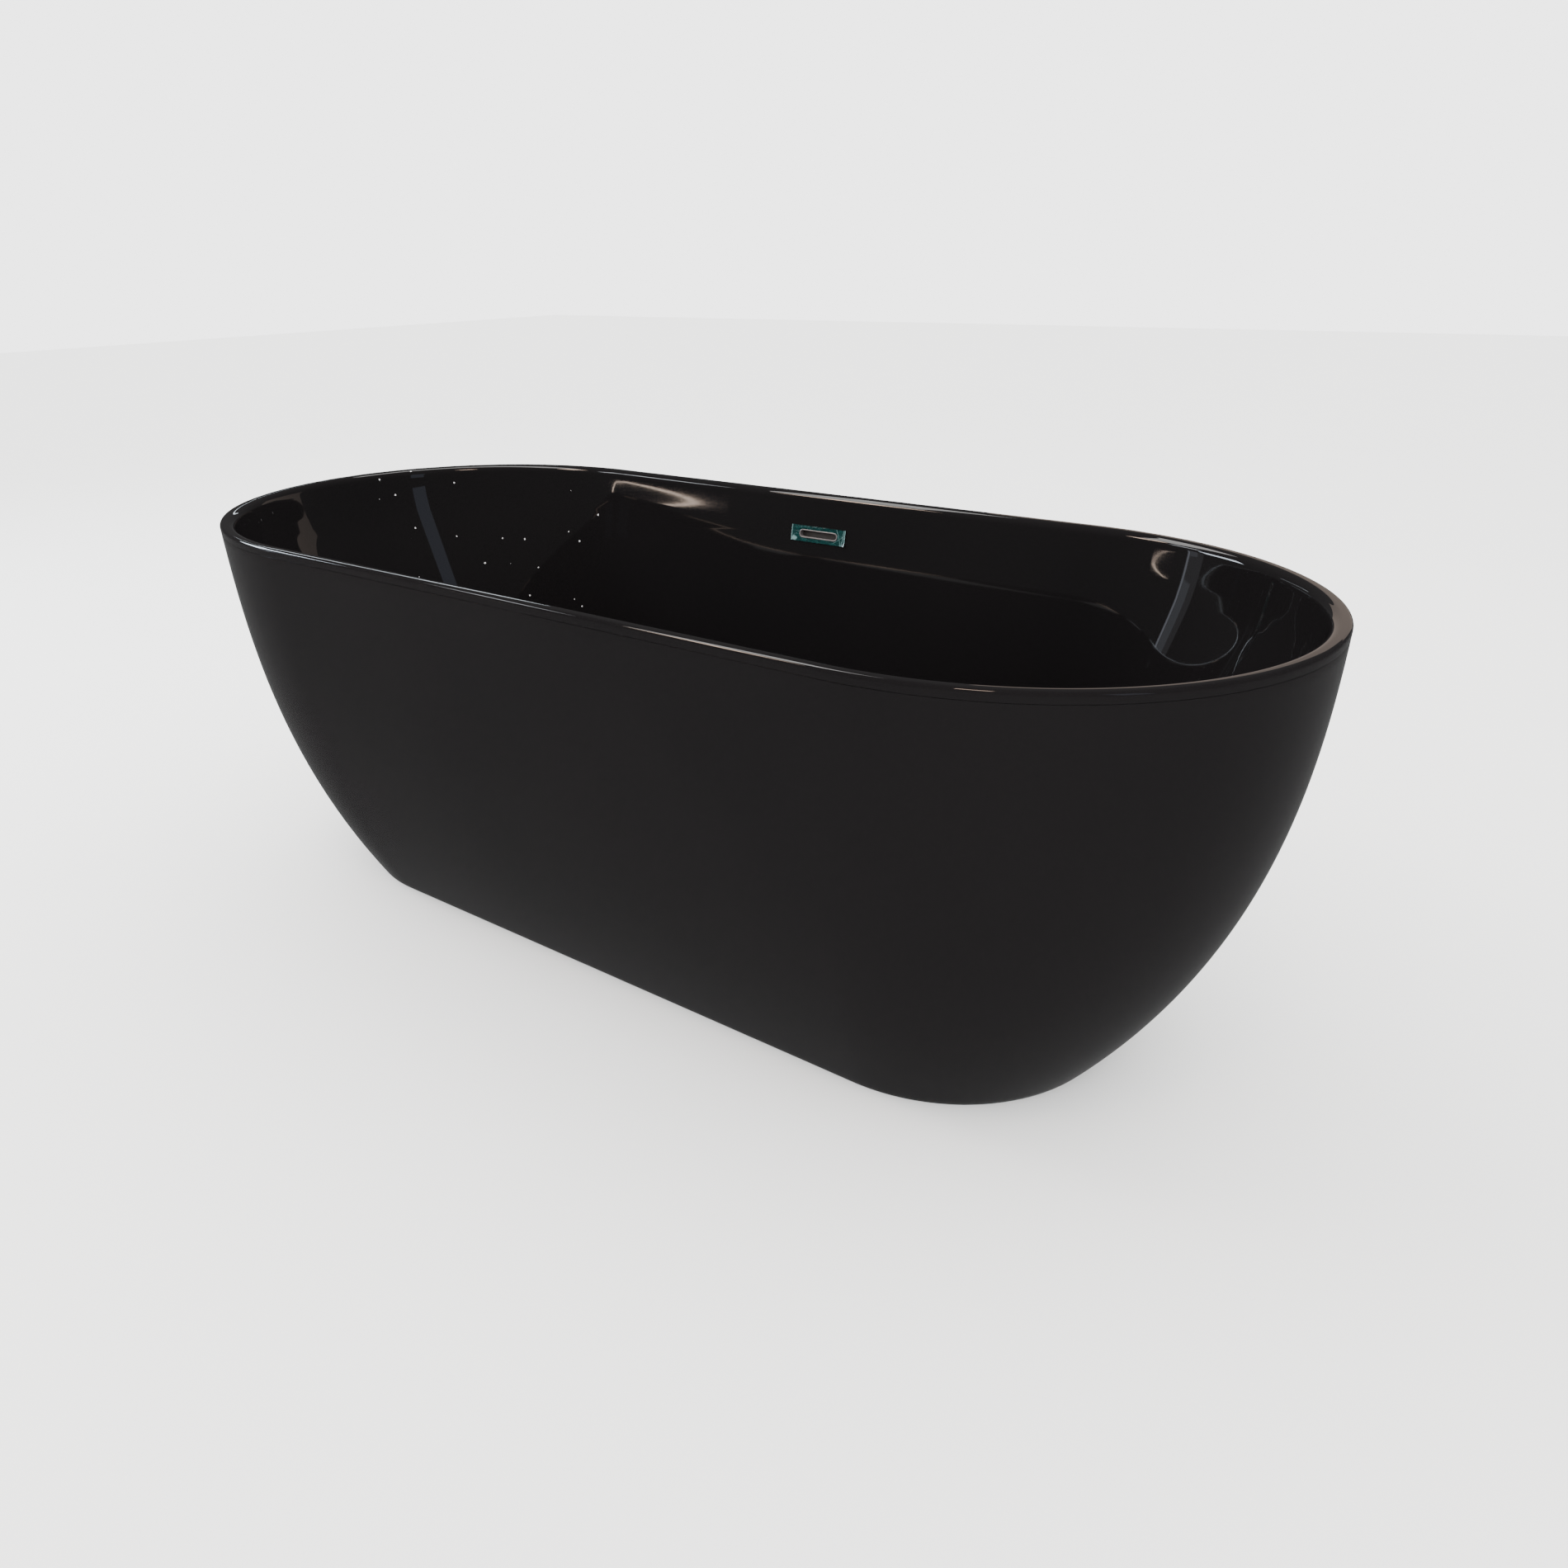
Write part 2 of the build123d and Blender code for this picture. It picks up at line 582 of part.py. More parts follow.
# ---- write every piece ----
def all_pieces():
    bracket_screws = make_bracket_screws()
    board_screws = make_board_screws()
    pieces = {
        "basin": make_basin(),
        "skirt": make_skirt(),
        "rim_bond": make_rim_bond(),
        "base_board": make_base_board() - board_screws,
        "rail_front": make_rail(-RAIL_Y) - board_screws,
        "rail_rear": make_rail(RAIL_Y) - board_screws,
        "cross_left": make_cross(-CROSS_X) - bracket_screws,
        "cross_right": make_cross(CROSS_X) - bracket_screws,
        "end_left": make_end(-1),
        "end_right": make_end(1),
        "outrigger_left": make_outrigger(-1) - bracket_screws,
        "outrigger_right": make_outrigger(1) - bracket_screws,
        "weld_nuts": make_weld_nuts(),
        "skirt_blocks": make_skirt_blocks(bracket_screws),
        "skirt_brackets": make_skirt_brackets(bracket_screws),
        "bracket_screws": bracket_screws,
        "board_screws": board_screws,
        "drain_body": make_drain_body(),
        "drain_seal": make_drain_seal(),
        "drain_gasket": make_drain_gasket(),
        "drain_locknut": make_drain_locknut(),
        "waste_tee": make_waste_tee(),
        "tee_washer": make_tee_washer(),
        "slip_nut": make_slip_nut(),
        "slip_washer": make_slip_washer(),
        "tailpiece": make_tailpiece(),
        "stopper_cap": make_stopper_cap(),
        "stopper_seal": make_stopper_seal(),
        "stopper_post": make_stopper_post(),
        "click_sleeve": make_click_sleeve(),
        "click_spring": make_click_spring(),
        "overflow_trim": make_overflow_trim(),
        "overflow_film": make_overflow_film(),
        "overflow_gasket": make_overflow_gasket(),
        "overflow_box": make_overflow_box(),
        "overflow_hose": make_overflow_hose(),
        "hose_clamp_upper": make_hose_clamp_upper(),
        "hose_clamp_lower": make_hose_clamp_lower(),
    }
    for place, (x, y) in foot_places().items():
        at_foot = Pos(x, y, 0)
        pieces["foot_sole_" + place] = at_foot * make_foot_sole()
        pieces["foot_pad_" + place] = at_foot * make_foot_pad()
        pieces["foot_stem_" + place] = at_foot * make_foot_stem()
        pieces["foot_locknut_" + place] = at_foot * make_foot_locknut()
    return pieces


def write_pieces():
    os.makedirs("parts", exist_ok=True)
    for name, piece in all_pieces().items():
        solids = piece if isinstance(piece, list) else [piece]
        shape = Compound(children=[body for solid in solids for body in solid.solids()])
        export_step(shape, "parts/" + name + ".step")


write_pieces()
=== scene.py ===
import bmesh
import bpy
import math
import random
from mathutils import Matrix, Vector


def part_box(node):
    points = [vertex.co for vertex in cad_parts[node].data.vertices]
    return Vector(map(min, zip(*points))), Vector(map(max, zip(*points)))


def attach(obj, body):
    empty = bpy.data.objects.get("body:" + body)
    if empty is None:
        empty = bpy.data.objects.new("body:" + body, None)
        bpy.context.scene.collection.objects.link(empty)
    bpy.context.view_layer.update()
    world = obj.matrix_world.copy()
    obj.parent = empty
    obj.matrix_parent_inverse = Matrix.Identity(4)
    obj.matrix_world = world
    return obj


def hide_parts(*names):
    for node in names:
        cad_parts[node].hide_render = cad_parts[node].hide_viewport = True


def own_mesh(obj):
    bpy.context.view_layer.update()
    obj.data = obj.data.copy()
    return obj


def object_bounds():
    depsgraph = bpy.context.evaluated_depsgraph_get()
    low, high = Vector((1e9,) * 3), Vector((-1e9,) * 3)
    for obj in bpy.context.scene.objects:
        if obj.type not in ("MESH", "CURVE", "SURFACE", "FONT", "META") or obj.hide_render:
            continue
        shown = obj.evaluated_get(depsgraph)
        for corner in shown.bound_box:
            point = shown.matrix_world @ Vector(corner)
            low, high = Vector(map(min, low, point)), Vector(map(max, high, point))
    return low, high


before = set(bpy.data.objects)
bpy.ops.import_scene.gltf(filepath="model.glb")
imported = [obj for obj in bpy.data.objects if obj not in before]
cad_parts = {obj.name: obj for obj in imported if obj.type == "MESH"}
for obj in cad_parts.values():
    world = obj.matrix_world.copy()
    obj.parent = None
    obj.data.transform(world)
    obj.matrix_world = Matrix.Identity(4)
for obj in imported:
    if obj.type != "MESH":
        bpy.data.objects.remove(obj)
cadLow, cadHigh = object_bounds()
tubBody = "tub"
print("frame loaded:", len(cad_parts), "nodes")

# The tub's form in metres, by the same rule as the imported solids.
tub = {
    "length": cadHigh.x - cadLow.x,
    "width": cadHigh.y - cadLow.y,
    "height": cadHigh.z - cadLow.z,
    "baseLength": 1.336,
    "baseWidth": 0.480,
    "straightTop": 0.450,
    "straightBase": 0.430,
    "endLean": 0.04,
    "endPower": 2.5,
    "sideLean": 0.22,
    "sidePower": 2.7,
    "endSlopes": (0.12, 0.33),
    "sideSlopes": (0.15, 0.08),
    "rimWidth": 0.021,
    "rimDepth": 0.012,
    "rimOuterRadius": 0.005,
    "rimInnerRadius": 0.012,
    "rimStart": 0.0104,
    "shell": 0.005,
    "floorZ": 0.150,
    "floorFall": 0.005,
    "floorUnderside": 0.138,
    "cornerRadius": 0.088,
    "drainHole": 0.025,
    "drainSeat": 0.037,
    "overflowZ": 0.536,
}


# Shader and geometry graphs.
def forward(operation):
    return lambda self, other: self.graph.sum(operation, self, other)


def reflected(operation):
    return lambda self, other: self.graph.sum(operation, other, self)


class Wire:  # a node's output that takes part in ordinary sums
    def __init__(self, graph, link):
        self.graph = graph
        self.link = link

    __add__ = forward("ADD")
    __radd__ = reflected("ADD")
    __sub__ = forward("SUBTRACT")
    __rsub__ = reflected("SUBTRACT")
    __mul__ = forward("MULTIPLY")
    __rmul__ = reflected("MULTIPLY")
    __truediv__ = forward("DIVIDE")
    __pow__ = forward("POWER")
    __lt__ = forward("LESS_THAN")
    __gt__ = forward("GREATER_THAN")


class Graph:
    def __init__(self, tree):
        self.tree = tree

    def node(self, kind, settings=None, values=None, output=0):
        made = self.tree.nodes.new(kind)
        for name, value in (settings or {}).items():
            if name == "stops":
                setStops(made.color_ramp, value)
            else:
                setattr(made, name, value)
        for name, value in (values or {}).items():
            self.feed(made.inputs[name], value)
        return Wire(self, made.outputs[output])

    def feed(self, socket, value):
        if isinstance(value, Wire):
            self.tree.links.new(value.link, socket)
        else:
            socket.default_value = value

    def sum(self, operation, first, second=0.0):
        return self.node("ShaderNodeMath", {"operation": operation}, {0: first, 1: second})

    def clamped(self, value):
        return self.node("ShaderNodeMath", {"operation": "ADD", "use_clamp": True}, {0: value, 1: 0.0})

    def step(self, value, low, high):  # a smooth step from 0 at low to 1 at high
        return self.node("ShaderNodeMapRange", {"interpolation_type": "SMOOTHSTEP"},
                         {"Value": value, "From Min": low, "From Max": high})

    def blend(self, factor, first, second):
        return self.node("ShaderNodeMix", {"data_type": "RGBA"}, {0: factor, 6: first, 7: second}, 2)

    def noise(self, place, scale, detail=2.0, roughness=0.5):
        return self.node("ShaderNodeTexNoise", None,
                         {"Vector": place, "Scale": scale, "Detail": detail, "Roughness": roughness})

    def cells(self, place, scale, output="Distance"):
        return self.node("ShaderNodeTexVoronoi", None, {"Vector": place, "Scale": scale}, output)

    def part(self, vector, axis):
        return self.node("ShaderNodeSeparateXYZ", None, {"Vector": vector}, axis)

    def circle(self, sides, radius):
        return self.node("GeometryNodeCurvePrimitiveCircle", None, {"Resolution": sides, "Radius": radius})

    def sweep(self, path, section, **more):
        values = dict({"Curve": path, "Profile Curve": section, "Fill Caps": True}, **more)
        return self.node("GeometryNodeCurveToMesh", None, values)

    def stretched(self, place, scale, turn=(0.0, 0.0, 0.0)):
        return self.node("ShaderNodeMapping", None, {"Vector": place, "Rotation": turn, "Scale": scale})

    def bump(self, height, distance, under=None):
        values = {"Height": height, "Distance": distance}
        if under is not None:
            values["Normal"] = under
        return self.node("ShaderNodeBump", None, values)


def setStops(ramp, stops):
    while len(ramp.elements) < len(stops):
        ramp.elements.new(0.5)
    for element, (position, colour) in zip(ramp.elements, stops):
        element.position = position
        element.color = colour


def finish(name, fixed, paint):
    material = bpy.data.materials.new(name)
    material.use_nodes = True
    graph = Graph(material.node_tree)
    shader = material.node_tree.nodes["Principled BSDF"]
    for socket, value in fixed.items():
        shader.inputs[socket].default_value = value
    place = graph.node("ShaderNodeTexCoord", output="Object")
    for socket, value in paint(graph, place).items():
        graph.feed(shader.inputs[socket], value)
    return material


def grey(value, tint=(1.0, 1.0, 1.0)):
    return (value * tint[0], value * tint[1], value * tint[2], 1.0)


# Finishes.
def makeAcrylic(name, look):
    def paint(g, place):
        smear = g.noise(g.stretched(place, (1.0, 1.0, 2.4)), look["smearScale"], 4.0, 0.6)
        cloudy = g.noise(place, look["smearScale"] * 0.4, 2.0)
        speckSpot = g.cells(place, look["speckScale"])
        speckKeep = g.node("ShaderNodeSeparateColor", None,
                           {"Color": g.cells(place, look["speckScale"], output="Color")}, "Red")
        speckReach = Wire(g, speckKeep.link.node.outputs["Green"]) * look["speckSize"]
        farLeft, behind = look["speckCorner"]
        inCorner = (g.part(place, "X") < farLeft) * (g.part(place, "Y") > behind)
        share = look["speckShare"] - look["speckEnd"] * inCorner
        speck = (speckSpot < speckReach) * (speckKeep > share)
        waviness = g.noise(place, look["waveScale"], 1.0)
        peel = g.noise(place, look["peelScale"], 2.0)
        tinted = g.blend(g.step(cloudy, 0.3, 0.7), look["colour"], look["colourSoft"])
        rough = look["roughness"] + g.step(smear, 0.5, 0.75) * look["smear"] + speck * 0.4
        slow = g.bump(waviness, look["waveDepth"])
        return {
            "Base Color": g.blend(speck * look["speckWhite"], tinted, grey(0.55)),
            "Roughness": g.clamped(rough),
            "Normal": g.bump(peel, look["peelDepth"], under=slow),
        }
    return finish(name, {"IOR": look["ior"]}, paint)


acrylicLook = {
    "colour": (0.0044, 0.0040, 0.0042, 1.0),
    "colourSoft": (0.0050, 0.0045, 0.0047, 1.0),
    "ior": 1.49,
    "roughness": 0.02,
    "smear": 0.018,
    "smearScale": 7.0,
    "waveScale": 5.0,
    "waveDepth": 0.000015,
    "peelScale": 150.0,
    "peelDepth": 0.000001,
    "speckScale": 50.0,
    "speckSize": 0.10,
    "speckShare": 1.1,
    "speckEnd": 0.85,
    "speckCorner": (-0.42, 0.08),
    "speckWhite": 0.9,
}
acrylic = makeAcrylic("blackAcrylic", acrylicLook)
skirtAcrylic = makeAcrylic("blackAcrylicSkirt", dict(acrylicLook, speckEnd=0.0))


def makeLaminate(name, look):  # chopped glass strands under resin, on the shells' hidden side
    def paint(g, place):
        strands = 0.0
        for stretch, turn in look["lays"]:
            lay = g.noise(g.stretched(place, stretch, turn), look["strandScale"], 2.0, 0.6)
            strands = g.sum("MAXIMUM", strands, g.step(lay, 0.56, 0.66))
        pooled = g.noise(place, 14.0, 3.0)
        shade = g.blend(g.step(pooled, 0.35, 0.7), look["resin"], look["thick"])
        return {
            "Base Color": g.blend(strands * 0.6, shade, look["glass"]),
            "Roughness": 0.30 + strands * 0.25,
            "Normal": g.bump(strands * 0.6 + pooled, 0.0006),
        }
    return finish(name, {"IOR": 1.5}, paint)


laminate = makeLaminate("glassLaminate", {
    "strandScale": 260.0,
    "lays": [((0.06, 1.0, 1.0), (0.3, 0.5, 0.2)), ((1.0, 0.06, 1.0), (0.6, -0.3, 0.7)),
             ((1.0, 1.0, 0.06), (0.2, 0.9, -0.5)), ((0.06, 1.0, 1.0), (0.9, -0.6, 1.2))],
    "resin": (0.085, 0.078, 0.062, 1.0),
    "thick": (0.055, 0.050, 0.040, 1.0),
    "glass": (0.17, 0.165, 0.145, 1.0),
})


def makeMetal(name, colour, look):
    def paint(g, place):
        patch = g.noise(place, look["patchScale"], 3.0)
        drawn = g.noise(g.stretched(place, look["grain"]), look["grainScale"], 2.0)
        dulled = g.step(patch, 0.45, 0.8)
        darker = tuple(part * look["dull"] for part in colour[:3]) + (1.0,)
        return {
            "Base Color": g.blend(dulled, colour, darker),
            "Roughness": g.clamped(look["roughness"] + dulled * look["wear"] + (drawn - 0.5) * look["drawn"]),
            "Metallic": g.clamped(look["metallic"] - dulled * 0.05),
            "Normal": g.bump(drawn, look["grainDepth"]),
        }
    return finish(name, {}, paint)


def metalLook(**changed):
    look = {"patchScale": 30.0, "grain": (1.0, 1.0, 1.0), "grainScale": 400.0, "dull": 0.75,
            "roughness": 0.3, "wear": 0.12, "drawn": 0.1, "grainDepth": 0.00001, "metallic": 0.98}
    look.update(changed)
    return look


chrome = makeMetal("polishedChrome", (0.62, 0.63, 0.65, 1.0),
                   metalLook(roughness=0.06, wear=0.08, drawn=0.02, dull=0.9, grainDepth=0.000003))
zincSteel = makeMetal("zincSteel", (0.52, 0.53, 0.52, 1.0), metalLook(roughness=0.3))
screwSteel = makeMetal("yellowZincSteel", (0.62, 0.55, 0.38, 1.0), metalLook(roughness=0.32, patchScale=90.0))
overflowSteel = makeMetal("overflowSteel", (0.20, 0.18, 0.18, 1.0),
                          metalLook(roughness=0.28, grain=(0.04, 1.0, 1.0), grainScale=1800.0, metallic=0.55))
brushedSteel = makeMetal("brushedStainless", (0.55, 0.54, 0.52, 1.0),
                         metalLook(roughness=0.24, grain=(0.04, 1.0, 1.0), grainScale=1800.0, drawn=0.2))
brass = makeMetal("turnedBrass", (0.58, 0.42, 0.17, 1.0),
                  metalLook(roughness=0.26, grain=(1.0, 1.0, 8.0), grainScale=300.0))
springSteel = makeMetal("springSteel", (0.45, 0.45, 0.46, 1.0), metalLook(roughness=0.22))


def makeGalvanised(name, look):  # zinc spangle on the frame's tubes
    def paint(g, place):
        spangle = g.node("ShaderNodeSeparateColor", None,
                         {"Color": g.cells(place, look["spangleScale"], output="Color")}, "Red")
        cloud = g.noise(place, 22.0, 3.0)
        white = g.step(cloud, 0.6, 0.8)
        metal = g.blend(spangle, look["dark"], look["light"])
        return {
            "Base Color": g.blend(white * 0.6, metal, look["oxide"]),
            "Roughness": g.clamped(0.32 + spangle * 0.18 + white * 0.25),
            "Metallic": 1.0 - white * 0.5,
            "Normal": g.bump(spangle + cloud, 0.00002),
        }
    return finish(name, {}, paint)


galvanised = makeGalvanised("galvanisedSteel", {
    "spangleScale": 130.0,
    "dark": (0.44, 0.45, 0.47, 1.0),
    "light": (0.56, 0.57, 0.58, 1.0),
    "oxide": (0.40, 0.41, 0.41, 1.0),
})


def makeMoulded(name, colour, roughness, grainScale=900.0, grainDepth=0.00003, rubbery=0.0):
    def paint(g, place):
        grain = g.noise(place, grainScale, 2.0)
        scuff = g.step(g.noise(place, 35.0, 4.0, 0.65), 0.55, 0.8)
        pale = tuple(min(1.0, part * 1.35 + 0.01 + rubbery) for part in colour[:3]) + (1.0,)
        return {
            "Base Color": g.blend(scuff * 0.6, colour, pale),
            "Roughness": g.clamped(roughness + scuff * 0.14 + (grain - 0.5) * 0.12),
            "Normal": g.bump(grain, grainDepth),
        }
    return finish(name, {"IOR": 1.46}, paint)


blackRubber = makeMoulded("blackRubber", grey(0.022), 0.7, 600.0, 0.00006, rubbery=0.012)
blackPlastic = makeMoulded("blackPlastic", grey(0.03), 0.42)
whitePlastic = makeMoulded("whitePlastic", (0.42, 0.42, 0.40, 1.0), 0.36)
boxPlastic = makeMoulded("greyBoxPlastic", (0.055, 0.048, 0.045, 1.0), 0.35)
greyPlastic = makeMoulded("greyHosePlastic", (0.11, 0.11, 0.115, 1.0), 0.4)
paleAdhesive = makeMoulded("paleAdhesive", (0.26, 0.25, 0.22, 1.0), 0.6, 160.0, 0.0004)


def makeWood(name, look):
    def paint(g, place):
        drift = g.noise(place, 5.0, 2.0)
        along = g.stretched(place, look["along"])
        grain = g.noise(along, look["grainScale"], 5.0, 0.6)
        pores = g.step(g.noise(along, look["grainScale"] * 5.0, 2.0), 0.58, 0.72)
        board = g.blend(g.clamped(grain * 1.5 - 0.25 + drift * 0.3), look["late"], look["early"])
        return {
            "Base Color": g.blend(pores * 0.5, board, look["pore"]),
            "Roughness": g.clamped(0.55 + grain * 0.25),
            "Normal": g.bump(grain - pores, 0.0003),
        }
    return finish(name, {}, paint)


plywood = makeWood("birchPly", {
    "along": (0.06, 1.0, 1.0),
    "grainScale": 55.0,
    "early": (0.30, 0.20, 0.11, 1.0),
    "late": (0.20, 0.125, 0.065, 1.0),
    "pore": (0.10, 0.06, 0.03, 1.0),
})


def makeFilm(name, look):  # green protective film, creased and scratched white at its edges
    def paint(g, place):
        sheet = g.stretched(place, (1.0, 1.0, 1.6))
        crease = g.noise(sheet, look["creaseScale"], 4.0, 0.7)
        scratch = g.noise(g.stretched(place, (0.25, 1.0, 1.5)), 420.0, 3.0, 0.7)
        milky = g.step(g.noise(place, 85.0, 4.0, 0.75), 0.56, 0.7)
        streak = g.step(scratch, 0.62, 0.74)
        body = g.blend(g.step(crease, 0.35, 0.7), look["deep"], look["pale"])
        along = g.part(place, "X")
        height = g.part(place, "Z") - look["middle"]
        far = g.sum("ABSOLUTE", along)
        wobble = (g.noise(place, 180.0, 3.0, 0.7) - 0.5) * 0.012
        cornerX, cornerZ = look["blotchAt"]
        toCorner = g.sum("ABSOLUTE", along - cornerX) + g.sum("ABSOLUTE", height - cornerZ) + wobble
        blotch = 1.0 - g.step(toCorner, *look["blotchReach"])
        folds = 0.0
        for start, slope in look["folds"]:
            aside = g.sum("ABSOLUTE", along - start - height * slope + wobble * 0.3)
            folds = (1.0 - g.step(aside, 0.0002, 0.0009)) * (along > look["foldsFrom"]) + folds
        edge = g.step(far, look["half"] - 0.0022, look["half"] - 0.0010)
        lifted = g.step(g.noise(place, 60.0, 3.0, 0.7) + far * 6.0, 0.72, 0.86)
        white = g.clamped(edge * 0.8 + milky * lifted + streak * 0.10 + blotch + folds * 0.55)
        return {
            "Base Color": g.blend(white, body, look["white"]),
            "Roughness": g.clamped(0.16 + milky * 0.3 + streak * 0.2),
            "Normal": g.bump(crease, 0.0009),
        }
    return finish(name, {"IOR": 1.5, "Coat Weight": 0.3, "Coat Roughness": 0.08}, paint)


film = makeFilm("greenProtectiveFilm", {
    "creaseScale": 130.0,
    "deep": (0.0022, 0.017, 0.0165, 1.0),
    "pale": (0.0055, 0.036, 0.034, 1.0),
    "white": (0.11, 0.19, 0.19, 1.0),
    "half": 0.052,
    "middle": tub["overflowZ"],
    "blotchAt": (-0.0465, -0.0085),
    "blotchReach": (0.0035, 0.0065),
    "foldsFrom": 0.030,
    "folds": [(0.0445, 1.5), (0.0400, -0.4), (0.0475, 0.15)],
})
print("finishes made")


# Mesh helpers.
def newObject(name, data):
    made = bpy.data.objects.new(name, data)
    bpy.context.scene.collection.objects.link(made)
    return made


def settle(work, mesh):
    work.to_mesh(mesh)
    work.free()
    return mesh


def addPiece(name, mesh, materials, body, slotName, *stoodFor):
    piece = newObject(name, mesh)
    shares = [face.material_index for face in mesh.polygons]
    mesh.materials.clear()
    for material in materials:
        mesh.materials.append(material)
    for face, share in zip(mesh.polygons, shares):
        face.material_index = min(share, len(materials) - 1)
    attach(piece, body)
    if stoodFor:
        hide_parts(*stoodFor)
    return piece


def shade(mesh, sharpDegrees, outward=False):
    work = bmesh.new()
    work.from_mesh(mesh)
    if outward:
        bmesh.ops.recalc_face_normals(work, faces=work.faces)
    for face in work.faces:
        face.smooth = True
    for edge in work.edges:
        if len(edge.link_faces) == 2:
            edge.smooth = edge.calc_face_angle(0.0) < math.radians(sharpDegrees)
    return settle(work, mesh)


def bake(source, name):  # a plain mesh from an object and its modifiers
    graph = bpy.context.evaluated_depsgraph_get()
    mesh = bpy.data.meshes.new_from_object(source.evaluated_get(graph), depsgraph=graph)
    mesh.name = name
    source.modifiers.clear()
    bpy.data.objects.remove(source)
    return mesh


def carrier(mesh=None):  # an empty object that a modifier builds on
    return newObject("carrier", mesh or bpy.data.meshes.new("carrier"))


def newTree(name, sizes):
    tree = bpy.data.node_groups.new(name, "GeometryNodeTree")
    tree.interface.new_socket("Geometry", in_out="INPUT", socket_type="NodeSocketGeometry")
    for key, value in sizes.items():
        kind = "NodeSocketInt" if isinstance(value, int) else "NodeSocketFloat"
        tree.interface.new_socket(key, in_out="INPUT", socket_type=kind)
    tree.interface.new_socket("Geometry", in_out="OUTPUT", socket_type="NodeSocketGeometry")
    graph = Graph(tree)
    entry = tree.nodes.new("NodeGroupInput")
    wires = {key: Wire(graph, entry.outputs[key]) for key in sizes}
    return graph, Wire(graph, entry.outputs["Geometry"]), wires


def endTree(graph, shape, material):
    real = graph.node("GeometryNodeRealizeInstances", None, {"Geometry": shape})
    painted = graph.node("GeometryNodeSetMaterial", None, {"Geometry": real, "Material": material})
    last = graph.tree.nodes.new("NodeGroupOutput")
    graph.tree.links.new(painted.link, last.inputs["Geometry"])


def runTree(holder, graph, sizes):
    modifier = holder.modifiers.new("build", "NODES")
    modifier.node_group = graph.tree
    for item in graph.tree.interface.items_tree:
        if item.item_type == "SOCKET" and item.in_out == "INPUT" and item.name in sizes:
            modifier[item.identifier] = sizes[item.name]
    return modifier


# The tub's outlines: stadium rings of a half length, half width, straight half and height.
def sideStraight(z):
    return tub["straightBase"] + (tub["straightTop"] - tub["straightBase"]) * z / tub["height"]


def outerHalves(z):
    s = min(z / tub["height"], 1.0)
    endFlare = tub["endLean"] * s + (1 - tub["endLean"]) * (1 - (1 - s) ** tub["endPower"])
    sideFlare = tub["sideLean"] * s + (1 - tub["sideLean"]) * (1 - (1 - s) ** tub["sidePower"])
    halfLength = (tub["baseLength"] + (tub["length"] - tub["baseLength"]) * endFlare) / 2
    halfWidth = (tub["baseWidth"] + (tub["width"] - tub["baseWidth"]) * sideFlare) / 2
    return halfLength, halfWidth


def softBend(depth, start=0.070, spread=0.040):  # 0 above the bend, then one for one, with a round knee
    here = (depth - start + math.hypot(depth - start, spread)) / 2
    return here - (math.hypot(start, spread) - start) / 2


def innerHalves(z):
    depth = tub["height"] - z
    halves = []
    for size, (upper, added) in ((tub["length"], tub["endSlopes"]), (tub["width"], tub["sideSlopes"])):
        halves.append(size / 2 - tub["rimWidth"] - upper * depth - added * softBend(depth))
    return tuple(halves)


steps = {"side": 40, "end": 136}


def ringPoints(ring):
    halfLength, halfWidth, straight, z = ring
    points = []
    for turn in (1, -1):
        for i in range(steps["side"]):
            x = straight * (2 * i / steps["side"] - 1)
            points.append(Vector((turn * x, -turn * halfWidth, z)))
        for i in range(steps["end"]):
            angle = math.pi * i / steps["end"]
            x = straight + (halfLength - straight) * math.sin(angle)
            points.append(Vector((turn * x, -turn * halfWidth * math.cos(angle), z)))
    return points


def ringAt(z, halves, grow=0.0):
    return (halves[0] + grow, halves[1] + grow, sideStraight(z), z)


def between(first, last, count):
    return [first + (last - first) * i / count for i in range(count + 1)]


def innerRings(grow, floorZ, wallHeights, cornerSteps):
    radius = tub["cornerRadius"] + grow
    rings = []
    for i in range(cornerSteps):
        angle = math.pi / 2 * i / cornerSteps
        z = floorZ + radius * (1 - math.cos(angle))
        rings.append(ringAt(z, innerHalves(z), grow - radius * (1 - math.sin(angle))))
    for z in wallHeights:
        rings.append(ringAt(z, innerHalves(z), grow))
    return rings


def wallHeights(low, high, count, hole):
    return between(low, hole[0], count) + [hole[1]] + between(hole[1], high, max(3, count // 6))[1:]


def rimRings():
    height = tub["height"]
    inner = tub["rimInnerRadius"]
    outer = tub["rimOuterRadius"]
    slopes = [innerHalves(height)[k] - innerHalves(height - 0.001)[k] for k in (0, 1)]
    slopes = [slope / 0.001 for slope in slopes]
    centres = [innerHalves(height)[k] + inner * (math.hypot(1, slopes[k]) - slopes[k]) for k in (0, 1)]
    lean = math.atan(sum(slopes) / 2)
    rings = []
    for angle in between(lean, math.pi / 2, 12):
        z = height - inner * (1 - math.sin(angle))
        rings.append(ringAt(z, [centre - inner * math.cos(angle) for centre in centres]))
    top = [half - outer for half in (tub["length"] / 2, tub["width"] / 2)]
    rings.append(ringAt(height, [centre * 0.5 + edge * 0.5 for centre, edge in zip(centres, top)]))
    for angle in between(math.pi / 2, 0, 8):
        z = height - outer * (1 - math.sin(angle))
        full = outerHalves(z)
        rings.append(ringAt(z, [half - outer * (1 - math.cos(angle)) for half in full]))
    lip = height - tub["rimDepth"]
    soften = 0.0004
    rings.append(ringAt(lip + soften, outerHalves(lip)))
    rings.append(ringAt(lip, outerHalves(lip), -soften))
    rings.append(ringAt(lip, innerHalves(lip), tub["shell"]))
    return rings


